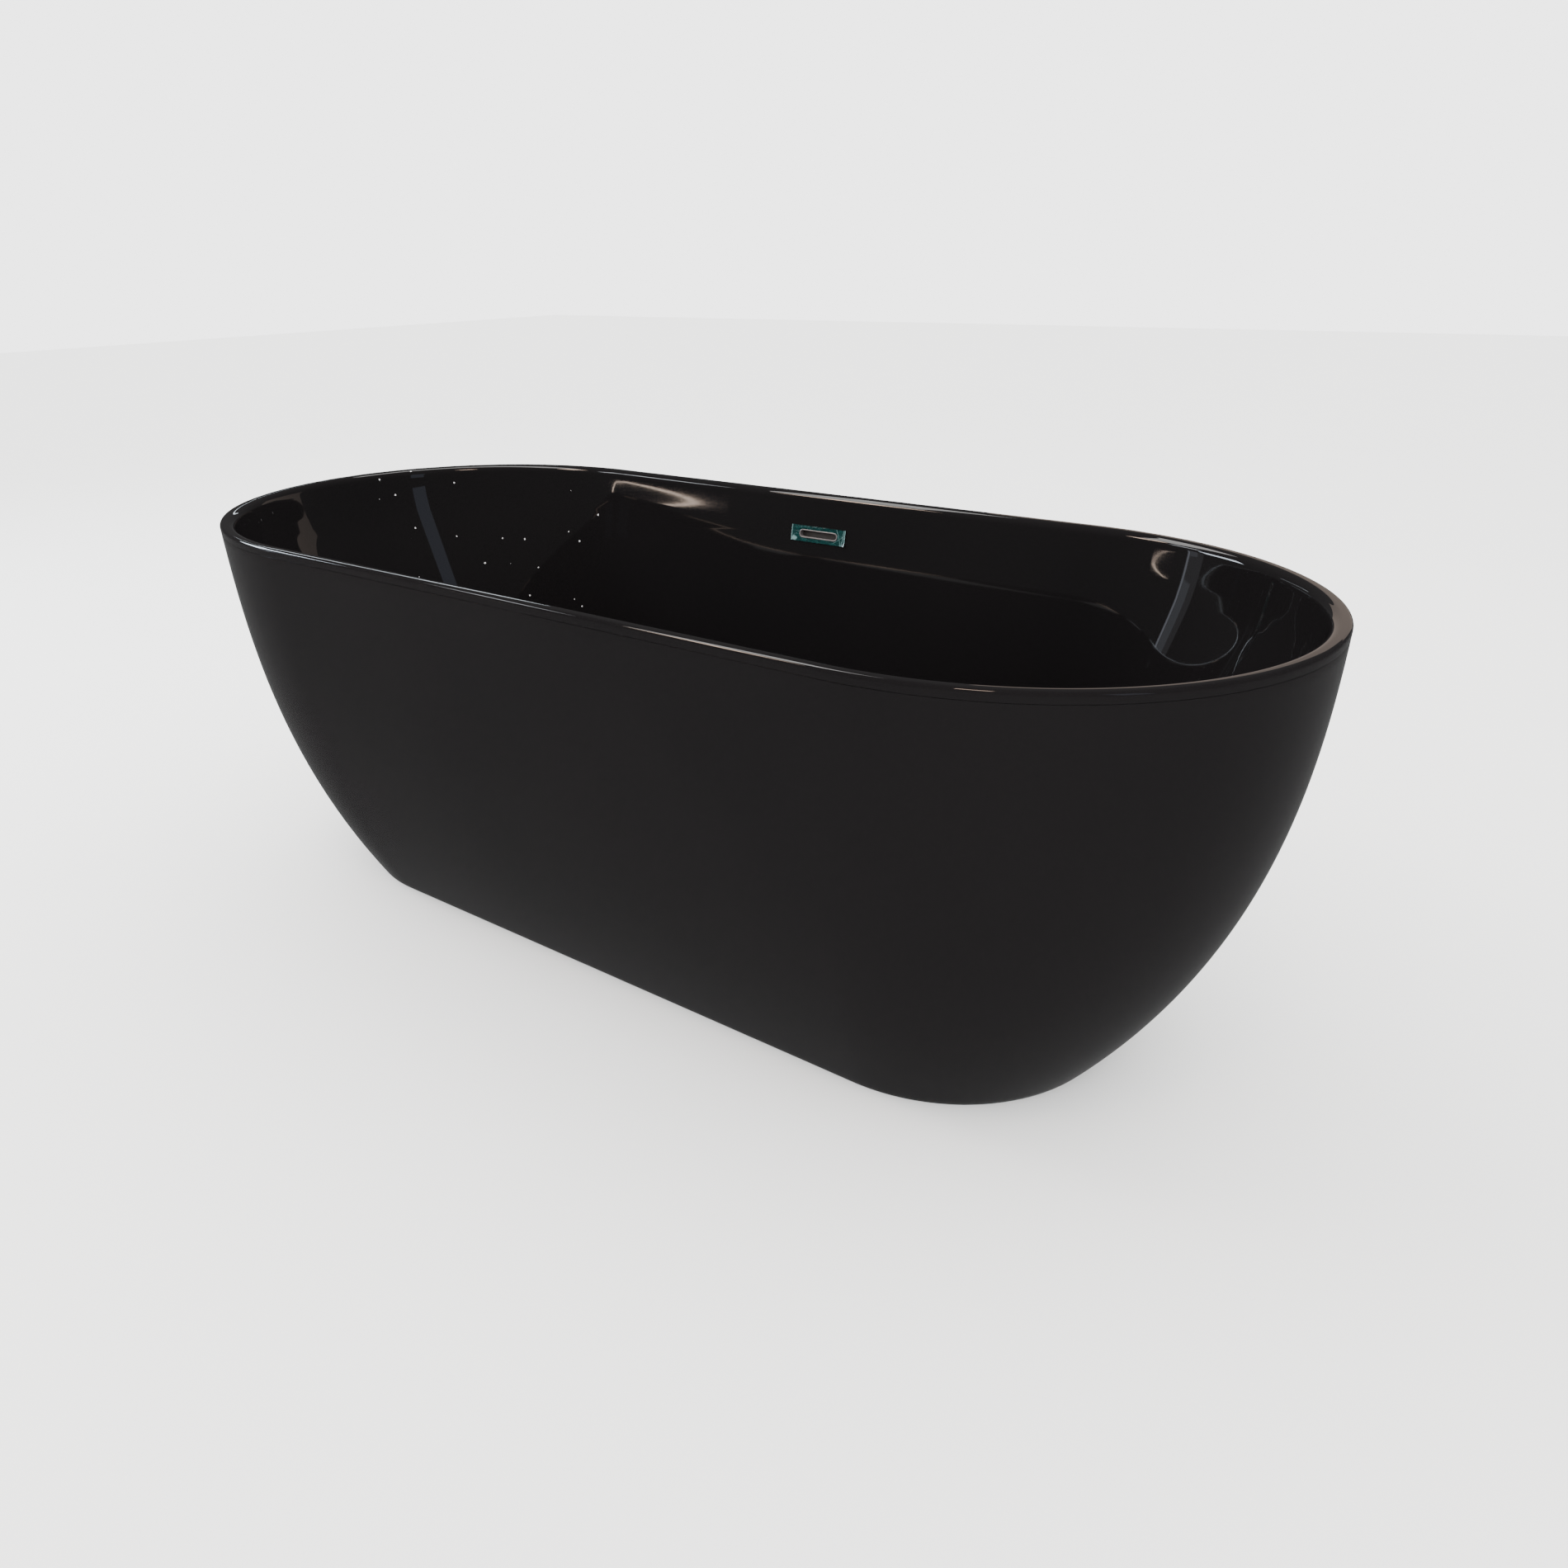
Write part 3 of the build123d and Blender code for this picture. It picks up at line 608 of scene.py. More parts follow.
def floorRings(low, edgeRing, count):  # from the round drain hole out to the floor's edge
    hole = (tub["drainHole"], tub["drainHole"], 0.0005, low)
    seat = (tub["drainSeat"] + 0.001, tub["drainSeat"], 0.001, low)
    rings = [hole, seat]
    for i in range(1, count):
        t = i / count
        rings.append(tuple(a + (b - a) * t for a, b in zip(seat, edgeRing)))
    return rings


overflowHole = {"half": 0.1, "low": tub["overflowZ"] - 0.009, "high": tub["overflowZ"] + 0.009}
basinSteps = {"wall": 54, "corner": 20, "floor": 10, "hiddenWall": 12, "hiddenCorner": 8, "hiddenFloor": 3}


def buildBasin():
    top = tub["height"] - tub["rimStart"]
    hole = (overflowHole["low"], overflowHole["high"])
    wallLow = tub["floorZ"] + tub["cornerRadius"]
    heights = wallHeights(wallLow, top, basinSteps["wall"], hole)[:-1]
    inside = innerRings(0.0, tub["floorZ"], heights, basinSteps["corner"])
    lowest = tub["floorZ"] - tub["floorFall"]
    bottom = floorRings(lowest, inside[0], basinSteps["floor"])
    shellLow = tub["floorUnderside"] + tub["cornerRadius"] + tub["shell"]
    lip = tub["height"] - tub["rimDepth"]
    heights = wallHeights(shellLow, lip, basinSteps["hiddenWall"], hole)[:-1]
    outside = innerRings(tub["shell"], tub["floorUnderside"], heights, basinSteps["hiddenCorner"])
    under = floorRings(tub["floorUnderside"], outside[0], basinSteps["hiddenFloor"])
    visible = bottom + inside + rimRings()
    rings = visible + outside[::-1] + under[::-1]
    work = bmesh.new()
    rows = [[work.verts.new(point) for point in ringPoints(ring)] for ring in rings]
    around = len(rows[0])
    backStart = steps["side"] + steps["end"]
    middle = backStart + steps["side"] // 2
    reach = round(steps["side"] / 2 * overflowHole["half"])
    holeColumns = range(middle - reach, middle + reach)
    tunnel = []
    for r, row in enumerate(rows):
        nextRow = rows[(r + 1) % len(rows)]
        rises = rings[r][3] < rings[(r + 1) % len(rings)][3]
        heights = sorted((rings[r][3], rings[(r + 1) % len(rings)][3]))
        crossing = abs(heights[0] - hole[0]) < 1e-6 and abs(heights[1] - hole[1]) < 1e-6
        if crossing:
            tunnel.append((row, nextRow) if rises else (nextRow, row))
        for c in range(around):
            if crossing and c in holeColumns:
                continue
            d = (c + 1) % around
            face = work.faces.new((row[c], row[d], nextRow[d], nextRow[c]))
            face.material_index = 0 if r < len(visible) - 2 else 1
    (innerLow, innerHigh), (outerLow, outerHigh) = tunnel
    for c in holeColumns:
        work.faces.new((innerLow[c], innerLow[c + 1], outerLow[c + 1], outerLow[c]))
        work.faces.new((innerHigh[c + 1], innerHigh[c], outerHigh[c], outerHigh[c + 1]))
    for c in (holeColumns[0], holeColumns[-1] + 1):
        work.faces.new((innerLow[c], outerLow[c], outerHigh[c], innerHigh[c]))
    mesh = settle(work, bpy.data.meshes.new("basin"))
    shade(mesh, 32.0, outward=True)
    return addPiece("basinShell", mesh, [acrylic, laminate], tubBody, "acrylic_inner", "basin")


basin = buildBasin()
print("basin built:", len(basin.data.polygons), "faces")


# The skirt follows one rule, so a graph bends a grid into it.
skirtSizes = {
    "Half length": tub["length"] / 2,
    "Half width": tub["width"] / 2,
    "Height": tub["height"],
    "Base half length": tub["baseLength"] / 2,
    "Base half width": tub["baseWidth"] / 2,
    "Straight at top": tub["straightTop"],
    "Straight at base": tub["straightBase"],
    "Skirt height": tub["height"] - tub["rimDepth"],
    "End lean": tub["endLean"],
    "End power": tub["endPower"],
    "Side lean": tub["sideLean"],
    "Side power": tub["sidePower"],
    "Columns": 2 * (steps["side"] + steps["end"]) + 1,
    "Rows": 61,
}


def skirtTree():
    g, _, size = newTree("skirtRule", skirtSizes)
    sheet = g.node("GeometryNodeMeshGrid", None,
                   {"Size X": 1.0, "Size Y": 1.0, "Vertices X": size["Columns"], "Vertices Y": size["Rows"]})
    place = g.node("GeometryNodeInputPosition")
    across = g.part(place, "X") + 0.5
    up = g.part(place, "Y") + 0.5
    share = steps["side"] / (steps["side"] + steps["end"])
    half = g.sum("MINIMUM", g.sum("FLOOR", across * 2.0 + 0.00001), 1.0)
    turn = 1.0 - half * 2.0
    along = across * 2.0 - half
    onSide = g.sum("MINIMUM", along / share, 1.0)
    onEnd = g.sum("MAXIMUM", (along - share) / (1.0 - share), 0.0) * math.pi
    z = up * size["Skirt height"]
    s = z / size["Height"]
    endFlare = s * size["End lean"] + (1.0 - (1.0 - s) ** size["End power"]) * (1.0 - size["End lean"])
    sideFlare = s * size["Side lean"] + (1.0 - (1.0 - s) ** size["Side power"]) * (1.0 - size["Side lean"])
    halfLength = size["Base half length"] + (size["Half length"] - size["Base half length"]) * endFlare
    halfWidth = size["Base half width"] + (size["Half width"] - size["Base half width"]) * sideFlare
    straight = size["Straight at base"] + (size["Straight at top"] - size["Straight at base"]) * s
    x = turn * (straight * (onSide * 2.0 - 1.0) + (halfLength - straight) * g.sum("SINE", onEnd))
    y = turn * halfWidth * g.sum("COSINE", onEnd) * -1.0
    moved = g.node("GeometryNodeSetPosition", None, {
        "Geometry": sheet, "Position": g.node("ShaderNodeCombineXYZ", None, {"X": x, "Y": y, "Z": z})})
    joined = g.node("GeometryNodeMergeByDistance", None, {"Geometry": moved, "Distance": 0.00002})
    endTree(g, joined, skirtAcrylic)
    return g


def buildSkirt():
    holder = carrier()
    runTree(holder, skirtTree(), skirtSizes)
    sheet = bake(holder, "skirtSheet")
    wall = carrier(sheet)
    sheet.materials.clear()
    sheet.materials.append(skirtAcrylic)
    sheet.materials.append(laminate)
    thick = wall.modifiers.new("wall", "SOLIDIFY")
    thick.thickness = tub["shell"]
    thick.offset = -1.0
    thick.material_offset = 1
    thick.use_rim = True
    edge = wall.modifiers.new("edge", "BEVEL")
    edge.width = 0.0006
    edge.segments = 2
    edge.limit_method = "ANGLE"
    edge.angle_limit = math.radians(50.0)
    mesh = bake(wall, "skirt")
    shade(mesh, 40.0, outward=True)
    return addPiece("skirtShell", mesh, [skirtAcrylic, laminate], tubBody, "acrylic_outer", "skirt")


skirt = buildSkirt()
print("skirt built:", len(skirt.data.polygons), "faces")


# Overflow slot, its plate and its film, on the leaning far wall.
overflowPlace = {"y": innerHalves(tub["overflowZ"])[1], "z": tub["overflowZ"]}
overflowLean = math.atan((innerHalves(tub["overflowZ"] + 0.001)[1] - overflowPlace["y"]) / 0.001)


def onWall(x, y, out):  # a point beside the overflow: along the wall, up the wall and into the tub
    up = Vector((0, math.sin(overflowLean), math.cos(overflowLean)))
    inward = Vector((0, -math.cos(overflowLean), math.sin(overflowLean)))
    return Vector((x, overflowPlace["y"], overflowPlace["z"])) + up * y + inward * out


def stadium(length, height, count=24):
    radius = height / 2
    points = []
    for side in (1, -1):
        for i in range(count):
            angle = -math.pi / 2 + math.pi * i / (count - 1)
            x = length / 2 - radius + radius * math.cos(angle)
            points.append((side * x, side * radius * math.sin(angle)))
    return points


def loopsToMesh(name, loops, closed=False):  # joins loops of equal length into one skin
    work = bmesh.new()
    rows = [[work.verts.new(point) for point in loop] for loop in loops]
    pairs = list(zip(rows, rows[1:] + rows[:1])) if closed else list(zip(rows, rows[1:]))
    for row, after in pairs:
        for c in range(len(row)):
            d = (c + 1) % len(row)
            work.faces.new((row[c], row[d], after[d], after[c]))
    if not closed:
        work.faces.new(rows[0][::-1])
        work.faces.new(rows[-1])
    return settle(work, bpy.data.meshes.new(name))


trimLook = {"length": 0.070, "height": 0.010, "wall": 0.002, "nose": 0.0022, "depth": 0.007, "soft": 0.0006}


def buildTrim():
    size = trimLook
    full = (size["length"] + 2 * size["wall"], size["height"] + 2 * size["wall"])
    nose = size["nose"]
    soft = size["soft"]
    section = [(0.0, -size["depth"]), (0.0, nose - soft), (0.3, nose - 0.3 * soft), (1.0, nose)]
    section += [(1.6, nose - 0.1 * soft), (1.95, nose - 0.7 * soft), (2.0, nose - 2 * soft)]
    section += [(2.0, -size["depth"])]
    loops = []
    for inset, out in section:
        shrink = inset * size["wall"]
        loops.append([onWall(x, y, out) for x, y in stadium(full[0] - shrink, full[1] - shrink)])
    ring = loopsToMesh("overflowRing", loops, closed=True)
    shade(ring, 50.0, outward=True)
    return addPiece("overflowRing", ring, [overflowSteel], tubBody, "trim_steel", "overflow_trim")


plateLook = {"opening": (0.0742, 0.0142), "half": (0.0505, 0.0115), "faces": (0.0002, 0.0011)}


def buildPlate():
    outline = stadium(*plateLook["opening"])
    half = plateLook["half"]
    loops = []
    for out in plateLook["faces"]:
        rim = [(half[0] * math.copysign(1, x), half[1] * math.copysign(1, y)) for x, y in outline]
        edge = []
        for (x, y), (farX, farY) in zip(outline, rim):
            reach = min(half[0] / max(abs(x), 1e-6), half[1] / max(abs(y), 1e-6))
            edge.append((x * reach, y * reach))
        loops.append(([onWall(x, y, out) for x, y in outline], [onWall(x, y, out) for x, y in edge]))
    plate = loopsToMesh("overflowPlate", [loops[0][0], loops[0][1], loops[1][1], loops[1][0]], closed=True)
    shade(plate, 40.0, outward=True)
    return addPiece("overflowPlate", plate, [brushedSteel], tubBody, "trim_steel")


buildTrim()
buildPlate()

filmLook = {"length": 0.104, "height": 0.026, "columns": 104, "rows": 26, "rest": 0.0013,
            "thickness": 0.00022, "crease": 0.00055, "creases": 11, "ragged": 0.00018, "seed": 4,
            "cornerAt": (0.034, 0.002), "cornerSize": (0.018, 0.011), "cornerLift": 0.0022,
            "edgeAt": 0.0475, "edgeSize": 0.0045, "edgeLift": 0.0006, "slotHalf": (0.0372, 0.0072)}


def filmHeight(x, y, creases):
    size = filmLook
    lift = 0.0
    for px, py, angle, width, height in creases:
        distance = (x - px) * math.sin(angle) - (y - py) * math.cos(angle)
        lift += height * math.exp(-(distance / width) ** 2)
    (cornerX, cornerY), (cornerLength, cornerHeight) = size["cornerAt"], size["cornerSize"]
    corner = max(0.0, (x - cornerX) / cornerLength) * max(0.0, (-y - cornerY) / cornerHeight)
    edge = max(0.0, abs(x) - size["edgeAt"]) / size["edgeSize"]
    return size["rest"] + lift + size["cornerLift"] * min(corner, 1.0) ** 2 + size["edgeLift"] * edge ** 2


def buildFilm():
    size = filmLook
    draw = random.Random(size["seed"])
    creases = []
    for i in range(size["creases"]):
        px = draw.uniform(-0.05, 0.05)
        py = draw.uniform(-0.012, 0.012)
        angle = draw.uniform(-0.5, 0.5) + (math.pi / 2 if i % 3 == 0 else 0.0)
        creases.append((px, py, angle, draw.uniform(0.0006, 0.002), draw.uniform(0.2, 1.0) * size["crease"]))
    tear = [draw.uniform(-1.0, 1.0) * size["ragged"] for r in range(size["rows"] + 1)]
    work = bmesh.new()
    grid = []
    for r in range(size["rows"] + 1):
        y = size["height"] * (r / size["rows"] - 0.5)
        row = []
        for c in range(size["columns"] + 1):
            x = size["length"] * (c / size["columns"] - 0.5)
            ragged = tear[r] if c in (0, size["columns"]) else 0.0
            row.append(work.verts.new(onWall(x + ragged, y, filmHeight(x, y, creases))))
        grid.append(row)
    slotHalf = size["slotHalf"]
    for r in range(size["rows"]):
        for c in range(size["columns"]):
            x = size["length"] * ((c + 0.5) / size["columns"] - 0.5)
            y = size["height"] * ((r + 0.5) / size["rows"] - 0.5)
            beyond = max(abs(x) - (slotHalf[0] - slotHalf[1]), 0.0)
            if math.hypot(beyond, y) < slotHalf[1]:
                continue
            work.faces.new((grid[r][c], grid[r][c + 1], grid[r + 1][c + 1], grid[r + 1][c]))
    bmesh.ops.delete(work, geom=[v for v in work.verts if not v.link_faces], context="VERTS")
    sheet = carrier(settle(work, bpy.data.meshes.new("film")))
    thick = sheet.modifiers.new("thickness", "SOLIDIFY")
    thick.thickness = size["thickness"]
    thick.offset = 1.0
    mesh = bake(sheet, "overflowFilm")
    shade(mesh, 60.0, outward=True)
    return addPiece("overflowFilm", mesh, [film], tubBody, "film", "overflow_film")


buildFilm()
print("overflow built")


# Waste fittings in the floor.
def lathe(name, section, material, body, slotName, *stoodFor, sides=96):
    loops = []
    for radius, z in section:
        loop = []
        for i in range(sides):
            angle = 2 * math.pi * i / sides
            loop.append(Vector((radius * math.cos(angle), radius * math.sin(angle), z)))
        loops.append(loop)
    mesh = loopsToMesh(name, loops, closed=True)
    shade(mesh, 40.0, outward=True)
    return addPiece(name, mesh, [material], body, slotName, *stoodFor)


def arc(centreR, centreZ, radius, first, last, count):
    turned = [math.radians(angle) for angle in between(first, last, count)]
    return [(centreR + radius * math.cos(a), centreZ + radius * math.sin(a)) for a in turned]


def buildStopperCap():
    low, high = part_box("stopper_cap")
    radius = high[0]
    rim = 0.0018
    top = high[2]
    section = arc(radius - rim, low[2] + rim, rim, -90, 55, 8)
    section += [(radius * 0.9, top - 0.0016), (radius * 0.72, top - 0.0006), (radius * 0.45, top - 0.0001)]
    section += [(0.0004, top), (0.0004, low[2])]
    return lathe("stopperCap", section, chrome, "stopper", "stopper_chrome", "stopper_cap")


buildStopperCap()


# The stopper's spring, a wire swept along a helix.
spring = {"turns": 6.0, "wire": 0.00045, "slack": 0.0001, "press": 0.009}


def springTree(sizes):
    g, _, size = newTree("springCoil", sizes)
    helix = g.node("GeometryNodeCurveSpiral", None, {
        "Resolution": 32, "Rotations": size["Turns"], "Start Radius": size["Coil radius"],
        "End Radius": size["Coil radius"], "Height": size["Rise"]})
    endTree(g, g.sweep(helix, g.circle(12, size["Wire radius"])), springSteel)
    return g


def buildSpring():
    low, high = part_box("click_spring")
    height = high[2] - low[2]
    sizes = {"Turns": spring["turns"], "Wire radius": spring["wire"], "Coil radius": high[0] - spring["wire"],
             "Rise": height - 2 * spring["wire"] - spring["slack"]}
    holder = carrier()
    runTree(holder, springTree(sizes), sizes)
    mesh = bake(holder, "clickSpring")
    mesh.transform(Matrix.Translation((0.0, 0.0, low[2] + spring["wire"])))
    shade(mesh, 60.0)
    piece = addPiece("clickSpring", mesh, [springSteel], tubBody, "spring_steel", "click_spring")
    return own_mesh(piece)


buildSpring()
print("spring built")


# Threads are a tooth swept round a core.
threadSizes = {"Radius": 0.006, "Core": 0.0052, "Low": 0.0, "Height": 0.1, "Pitch": 0.00175}


def threadTree(sizes, material, name):
    g, _, size = newTree(name, sizes)
    turns = size["Height"] / size["Pitch"]
    helix = g.node("GeometryNodeCurveSpiral", None, {
        "Resolution": 22, "Rotations": turns, "Start Radius": size["Core"], "End Radius": size["Core"],
        "Height": size["Height"]})
    ridge = g.sweep(helix, g.circle(4, size["Radius"] - size["Core"]))
    core = g.node("GeometryNodeMeshCylinder", None, {
        "Vertices": 32, "Radius": size["Core"] + 0.00015, "Depth": size["Height"] + 0.001})
    lifted = g.node("GeometryNodeTransform", None, {
        "Geometry": core, "Translation": g.node("ShaderNodeCombineXYZ", None, {"Z": size["Height"] / 2.0})})
    both = g.tree.nodes.new("GeometryNodeJoinGeometry")
    g.tree.links.new(ridge.link, both.inputs[0])
    g.tree.links.new(lifted.link, both.inputs[0])
    rise = g.node("ShaderNodeCombineXYZ", None, {"Z": size["Low"]})
    threaded = Wire(g, both.outputs[0])
    raised = g.node("GeometryNodeTransform", None, {"Geometry": threaded, "Translation": rise})
    endTree(g, raised, material)
    return g


def hexSection(mesh, flats, low, high, bevel=0.0008):
    radius = flats / math.sqrt(3)
    work = bmesh.new()
    work.from_mesh(mesh)
    loops = []
    for scale, z in ((0.9, low), (1.0, low + bevel), (1.0, high - bevel), (0.9, high)):
        loop = []
        for i in range(6):
            angle = math.pi / 3 * i + math.pi / 6
            reach = scale * radius
            loop.append(work.verts.new((reach * math.cos(angle), reach * math.sin(angle), z)))
        loops.append(loop)
    for first, after in zip(loops, loops[1:]):
        for c in range(6):
            d = (c + 1) % 6
            work.faces.new((first[c], first[d], after[d], after[c]))
    work.faces.new(loops[0][::-1])
    work.faces.new(loops[-1])
    return settle(work, mesh)


stemLook = {"flats": 0.015, "hexLow": 0.0127, "hexHigh": 0.0207, "threadEnd": 0.0012}


def buildStems():
    for corner in ("fl", "fr", "rl", "rr"):
        low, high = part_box("foot_stem_" + corner)
        sizes = dict(threadSizes, Low=low[2], Height=high[2] - low[2] - stemLook["threadEnd"])
        holder = carrier()
        runTree(holder, threadTree(sizes, zincSteel, "footThread"), sizes)
        mesh = bake(holder, "footStem")
        hexSection(mesh, stemLook["flats"], low[2] + stemLook["hexLow"], low[2] + stemLook["hexHigh"])
        mesh.transform(Matrix.Translation(((low[0] + high[0]) / 2, (low[1] + high[1]) / 2, 0.0)))
        shade(mesh, 35.0)
        addPiece("footStem." + corner, mesh, [zincSteel], "foot_" + corner, "zinc_steel",
                 "foot_stem_" + corner)


buildStems()
print("feet built")


# Overflow hose, ribbed along its route. The route repeats the solid tube's points.
hose = {
    "route": [(0.056, 0.082), (0.205, 0.082), (0.262, 0.142), (0.300, 0.222), (0.325, 0.318),
              (0.340, 0.400), (0.3488, 0.470)],
    "sizes": {"Radius": 0.0112, "Rib height": 0.0008, "Rib pitch": 0.0042, "Ring gap": 0.00105},
}


def routeCurve():
    curve = bpy.data.curves.new("hoseRoute", "CURVE")
    curve.dimensions = "3D"
    curve.resolution_u = 24
    line = curve.splines.new("NURBS")
    line.points.add(len(hose["route"]) - 1)
    for point, (y, z) in zip(line.points, hose["route"]):
        point.co = (0.0, y, z, 1.0)
    line.order_u = 3
    line.use_endpoint_u = True
    return newObject("hoseRoute", curve)


def hoseTree(route):
    g, _, size = newTree("hoseRibs", hose["sizes"])
    read = g.node("GeometryNodeObjectInfo", None, {"Object": route}, "Geometry")
    path = g.node("GeometryNodeResampleCurve", {"mode": "LENGTH"},
                  {"Curve": read, "Length": size["Ring gap"]})
    along = g.node("GeometryNodeSplineParameter", output="Length")
    wave = g.sum("SINE", along / size["Rib pitch"] * (2 * math.pi))
    swell = 1.0 + wave * size["Rib height"] / size["Radius"]
    endTree(g, g.sweep(path, g.circle(28, size["Radius"]), Scale=swell), greyPlastic)
    return g


def buildHose():
    route = routeCurve()
    holder = carrier()
    runTree(holder, hoseTree(route), hose["sizes"])
    mesh = bake(holder, "overflowHose")
    bpy.data.objects.remove(route)
    shade(mesh, 50.0)
    return addPiece("overflowHose", mesh, [greyPlastic], tubBody, "hose_plastic", "overflow_hose")


buildHose()
print("hose built")


# Weld beads along the frame's joints.
weld = {"radius": 0.0022, "gap": 0.0016, "seed": 7, "inset": 0.002, "endInset": 0.0015, "rim": 0.001}


def weldLines():
    lines = []
    inset, rim = weld["inset"], weld["rim"]
    for name in ("cross_left", "cross_right"):
        low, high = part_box(name)
        for rail in ("rail_front", "rail_rear"):
            railLow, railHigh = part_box(rail)
            for x in (low[0] + inset, high[0] - inset):
                lines.append(((x, railLow[1] + inset, railLow[2]), (x, railHigh[1] - inset, railLow[2])))
    for name in ("end_left", "end_right"):
        low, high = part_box(name)
        for y in (low[1], high[1]):
            for x in (low[0] + weld["endInset"], high[0] - weld["endInset"]):
                lines.append(((x, y, low[2] + rim), (x, y, high[2] - rim)))
            lines.append(((low[0] + rim, y, low[2] + rim), (high[0] - rim, y, low[2] + rim)))
    for name in ("outrigger_left", "outrigger_right"):
        low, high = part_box(name)
        x = low[0] if abs(low[0]) < abs(high[0]) else high[0]
        for y in (low[1] + rim, high[1] - rim):
            lines.append(((x, y, low[2] + rim), (x, y, high[2] - rim)))
        lines.append(((x, low[1] + rim, low[2] + rim), (x, high[1] - rim, low[2] + rim)))
    return lines


def weldTree(sizes):
    g, lines, size = newTree("weldBeads", sizes)
    path = g.node("GeometryNodeMeshToCurve", None, {"Mesh": lines})
    dense = g.node("GeometryNodeCurveToPoints", {"mode": "LENGTH"},
                   {"Curve": path, "Length": size["Bead gap"]})
    bead = g.node("GeometryNodeMeshIcoSphere", None, {"Radius": size["Bead radius"], "Subdivisions": 2})
    spread = g.node("FunctionNodeRandomValue", {"data_type": "FLOAT"},
                    {2: 0.85, 3: 1.15, "Seed": size["Seed"]}, 1)
    beads = g.node("GeometryNodeInstanceOnPoints", None, {"Points": dense, "Instance": bead, "Scale": spread})
    endTree(g, beads, zincSteel)
    return g


def buildWelds():
    work = bmesh.new()
    for first, last in weldLines():
        work.edges.new((work.verts.new(first), work.verts.new(last)))
    sizes = {"Bead radius": weld["radius"], "Bead gap": weld["gap"], "Seed": weld["seed"]}
    holder = carrier(settle(work, bpy.data.meshes.new("weldLines")))
    runTree(holder, weldTree(sizes), sizes)
    mesh = bake(holder, "weldBeads")
    shade(mesh, 180.0)
    return addPiece("weldBeads", mesh, [zincSteel], tubBody, "galvanised")


buildWelds()
print("welds built")


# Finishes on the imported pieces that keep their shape.
nodeFinish = {
    "rim_bond": paleAdhesive, "base_board": plywood, "skirt_blocks": plywood,
    "rail_front": galvanised, "rail_rear": galvanised, "cross_left": galvanised, "cross_right": galvanised,
    "end_left": galvanised, "end_right": galvanised, "outrigger_left": galvanised,
    "outrigger_right": galvanised, "weld_nuts": zincSteel, "skirt_brackets": galvanised,
    "bracket_screws": screwSteel, "board_screws": screwSteel,
    "drain_body": chrome, "drain_seal": blackRubber, "drain_gasket": blackRubber, "drain_locknut": brass,
    "waste_tee": whitePlastic, "tee_washer": blackRubber, "slip_nut": whitePlastic,
    "slip_washer": blackRubber, "tailpiece": chrome, "stopper_seal": blackRubber, "stopper_post": brass,
    "click_sleeve": whitePlastic,
    "overflow_gasket": blackRubber, "overflow_box": boxPlastic,
    "hose_clamp_upper": brushedSteel, "hose_clamp_lower": brushedSteel,
}
for corner in ("fl", "fr", "rl", "rr"):
    nodeFinish["foot_sole_" + corner] = blackRubber
    nodeFinish["foot_pad_" + corner] = blackPlastic
    nodeFinish["foot_locknut_" + corner] = zincSteel
for name, material in nodeFinish.items():
    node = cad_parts[name]
    if not node.material_slots:
        node.data.materials.append(material)
    for slot in node.material_slots:
        slot.material = material
print("finishes given")


# Floor, lights and camera.
stageLook = {"floorSize": 30.0, "floorColour": (0.86, 0.86, 0.85, 1.0),
             "floorPale": (0.88, 0.88, 0.87, 1.0), "world": 3.6, "reflectedHigh": 0.07,
             "reflectedLow": 0.15}


def buildFloor():
    half = stageLook["floorSize"] / 2
    mesh = bpy.data.meshes.new("floor")
    corners = [(-half, -half, 0), (half, -half, 0), (half, half, 0), (-half, half, 0)]
    mesh.from_pydata(corners, [], [(0, 1, 2, 3)])
    floor = newObject("floor", mesh)

    def paint(g, place):
        grain = g.noise(place, 3.0, 4.0)
        return {"Base Color": g.blend(grain, stageLook["floorColour"], stageLook["floorPale"])}
    mesh.materials.append(finish("paleFloor", {"Roughness": 0.9, "Specular IOR Level": 0.1}, paint))
    floor.visible_glossy = False
    return floor


buildFloor()


def buildWorld():
    world = bpy.data.worlds.new("studio")
    world.use_nodes = True
    bpy.context.scene.world = world
    graph = Graph(world.node_tree)
    surround = world.node_tree.nodes["Background"]
    glossy = graph.node("ShaderNodeLightPath", output="Is Glossy Ray")
    place = graph.node("ShaderNodeTexCoord", output="Generated")
    climb = stageLook["reflectedHigh"] - stageLook["reflectedLow"]
    mirrored = graph.step(graph.part(place, "Z"), -0.12, 0.10) * climb
    level = stageLook["world"] + glossy * (mirrored + stageLook["reflectedLow"] - stageLook["world"])
    graph.feed(surround.inputs["Strength"], level)
    surround.inputs["Color"].default_value = (1.0, 1.0, 1.0, 1.0)


buildWorld()


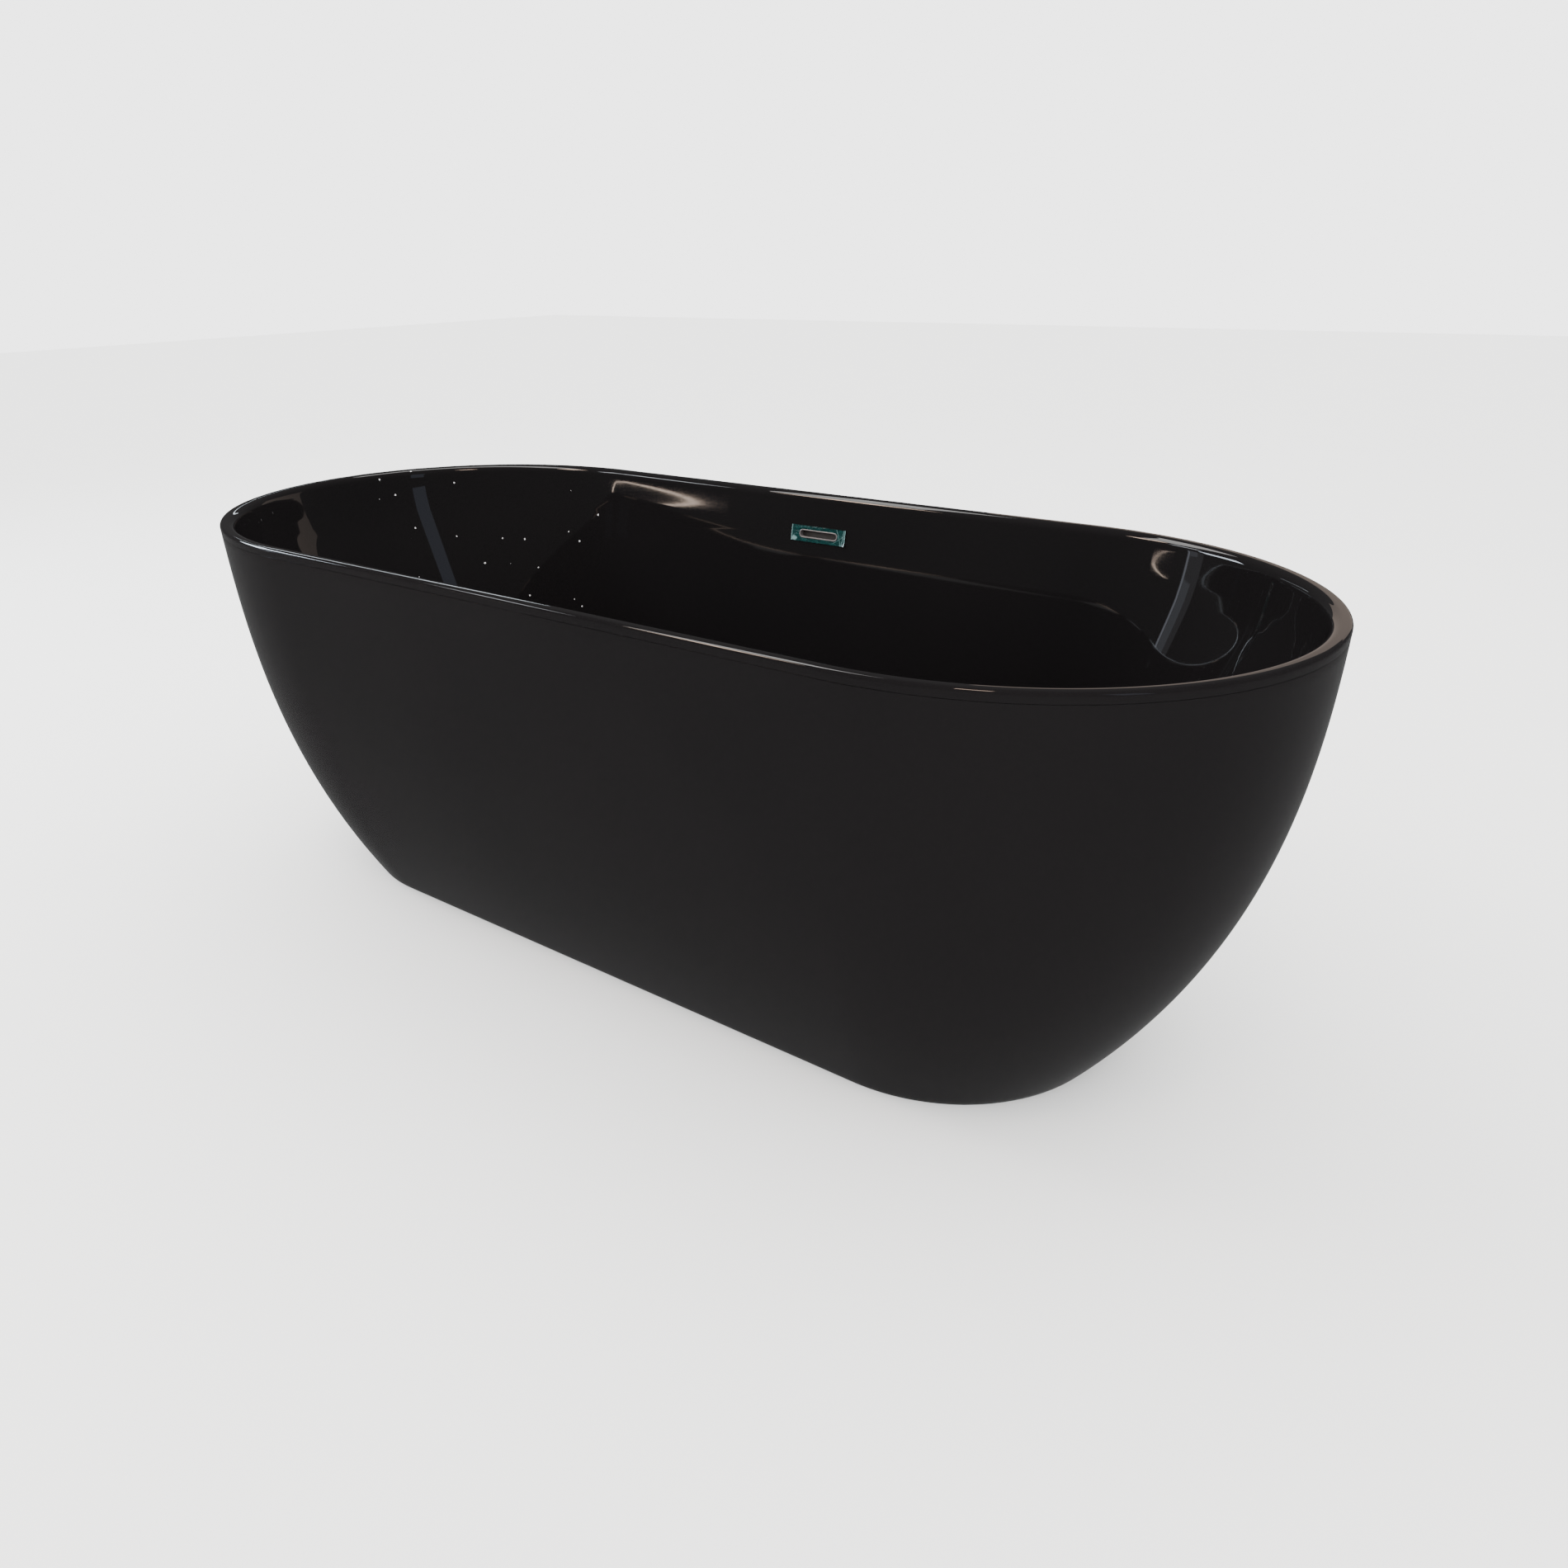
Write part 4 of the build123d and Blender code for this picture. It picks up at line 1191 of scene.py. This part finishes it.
# Soft panels: the place on the tub that mirrors each, its azimuth and elevation from there, and its
# distance, size, glow and colour.
panels = {
    "overhead": ((0.0, 0.0, 0.55), 168, 62, 3.2, (2.4, 0.7), 6.0, (1.0, 0.99, 0.97)),
    "rimLeft": ((-0.45, -0.375, 0.6), -170, 26, 4.0, (1.5, 0.9), 20.0, (0.80, 0.90, 1.0)),
    "rimMiddle": ((0.0, -0.375, 0.6), -160, 40, 4.0, (0.9, 0.3), 10.0, (0.92, 0.96, 1.0)),
    "rimBehind": ((-0.2, -0.365, 0.6), 144, 14, 4.0, (1.6, 0.06), 5.0, (0.85, 0.93, 1.0)),
    "rimWarm": ((0.33, -0.375, 0.6), -152, 49, 4.0, (0.8, 0.5), 22.0, (1.0, 0.76, 0.60)),
    "rimWarmFar": ((0.63, -0.34, 0.6), -77, 68, 4.0, (0.6, 0.5), 20.0, (1.0, 0.74, 0.58)),
    "farWall": ((-0.314, 0.348, 0.561), -129, 3.8, 4.0, (0.62, 0.003), 22.0, (1.0, 0.80, 0.66)),
    "farRight": ((0.552, 0.334, 0.557), -135, 2.4, 4.0, (0.28, 0.003), 20.0, (1.0, 0.86, 0.76)),
    "rightStreak": ((0.603, 0.310, 0.530), -150.5, 6, 4.0, (0.40, 0.9), 0.35, (0.80, 0.82, 0.90)),
    "rightStreakCore": ((0.603, 0.310, 0.530), -149.5, 8, 3.95, (0.20, 0.7), 0.5, (0.74, 0.84, 1.0)),
    "rightStreakEdge": ((0.603, 0.310, 0.530), -147.5, 6, 3.9, (0.05, 0.8), 2.2, (0.80, 0.86, 1.0)),
    "leftStreak": ((-0.750, 0.160, 0.480), -20, 20, 4.0, (0.50, 1.3), 0.55, (0.66, 0.76, 1.0)),
    "rightEndRim": ((0.80, 0.10, 0.59), 100, 11, 3.0, (2.2, 0.9), 0.5, (1.0, 0.80, 0.68)),
}


def addPanel(name, seenAt, azimuth, elevation, distance, size, glow, colour):
    turn = math.radians(azimuth)
    rise = math.radians(elevation)
    away = Vector((math.cos(turn) * math.cos(rise), math.sin(turn) * math.cos(rise), math.sin(rise)))
    data = bpy.data.lights.new(name, "AREA")
    data.shape = "RECTANGLE"
    data.size, data.size_y = size
    data.energy = glow * math.pi * size[0] * size[1]
    data.color = colour
    light = newObject(name, data)
    light.location = Vector(seenAt) + away * distance
    light.rotation_euler = (-away).to_track_quat("-Z", "Y").to_euler()
    light.visible_camera = False
    return light


for name, panel in panels.items():
    addPanel(name, *panel)

cameraView = {"azimuth": 36.544, "elevation": 24.303, "distance": 1.740044, "roll": -0.967,
              "target": (0.062959, 0.016417, 0.246441), "lens": 26.2314, "shift": (0.03094, -0.00870)}


def buildCamera():
    turn = math.radians(cameraView["azimuth"])
    rise = math.radians(cameraView["elevation"])
    roll = math.radians(cameraView["roll"])
    back = Vector((math.sin(turn) * math.cos(rise), -math.cos(turn) * math.cos(rise), math.sin(rise)))
    right = Vector((math.cos(turn), math.sin(turn), 0.0))
    up = back.cross(right)
    rolledRight = right * math.cos(roll) + up * math.sin(roll)
    rolledUp = up * math.cos(roll) - right * math.sin(roll)
    data = bpy.data.cameras.new("camera")
    data.sensor_width = 36.0
    data.lens = cameraView["lens"]
    data.shift_x, data.shift_y = cameraView["shift"]
    camera = newObject("camera", data)
    place = Vector(cameraView["target"]) + back * cameraView["distance"]
    turned = Matrix((rolledRight, rolledUp, back)).transposed().to_4x4()
    camera.matrix_world = Matrix.Translation(place) @ turned
    bpy.context.scene.camera = camera


buildCamera()
print("stage set")
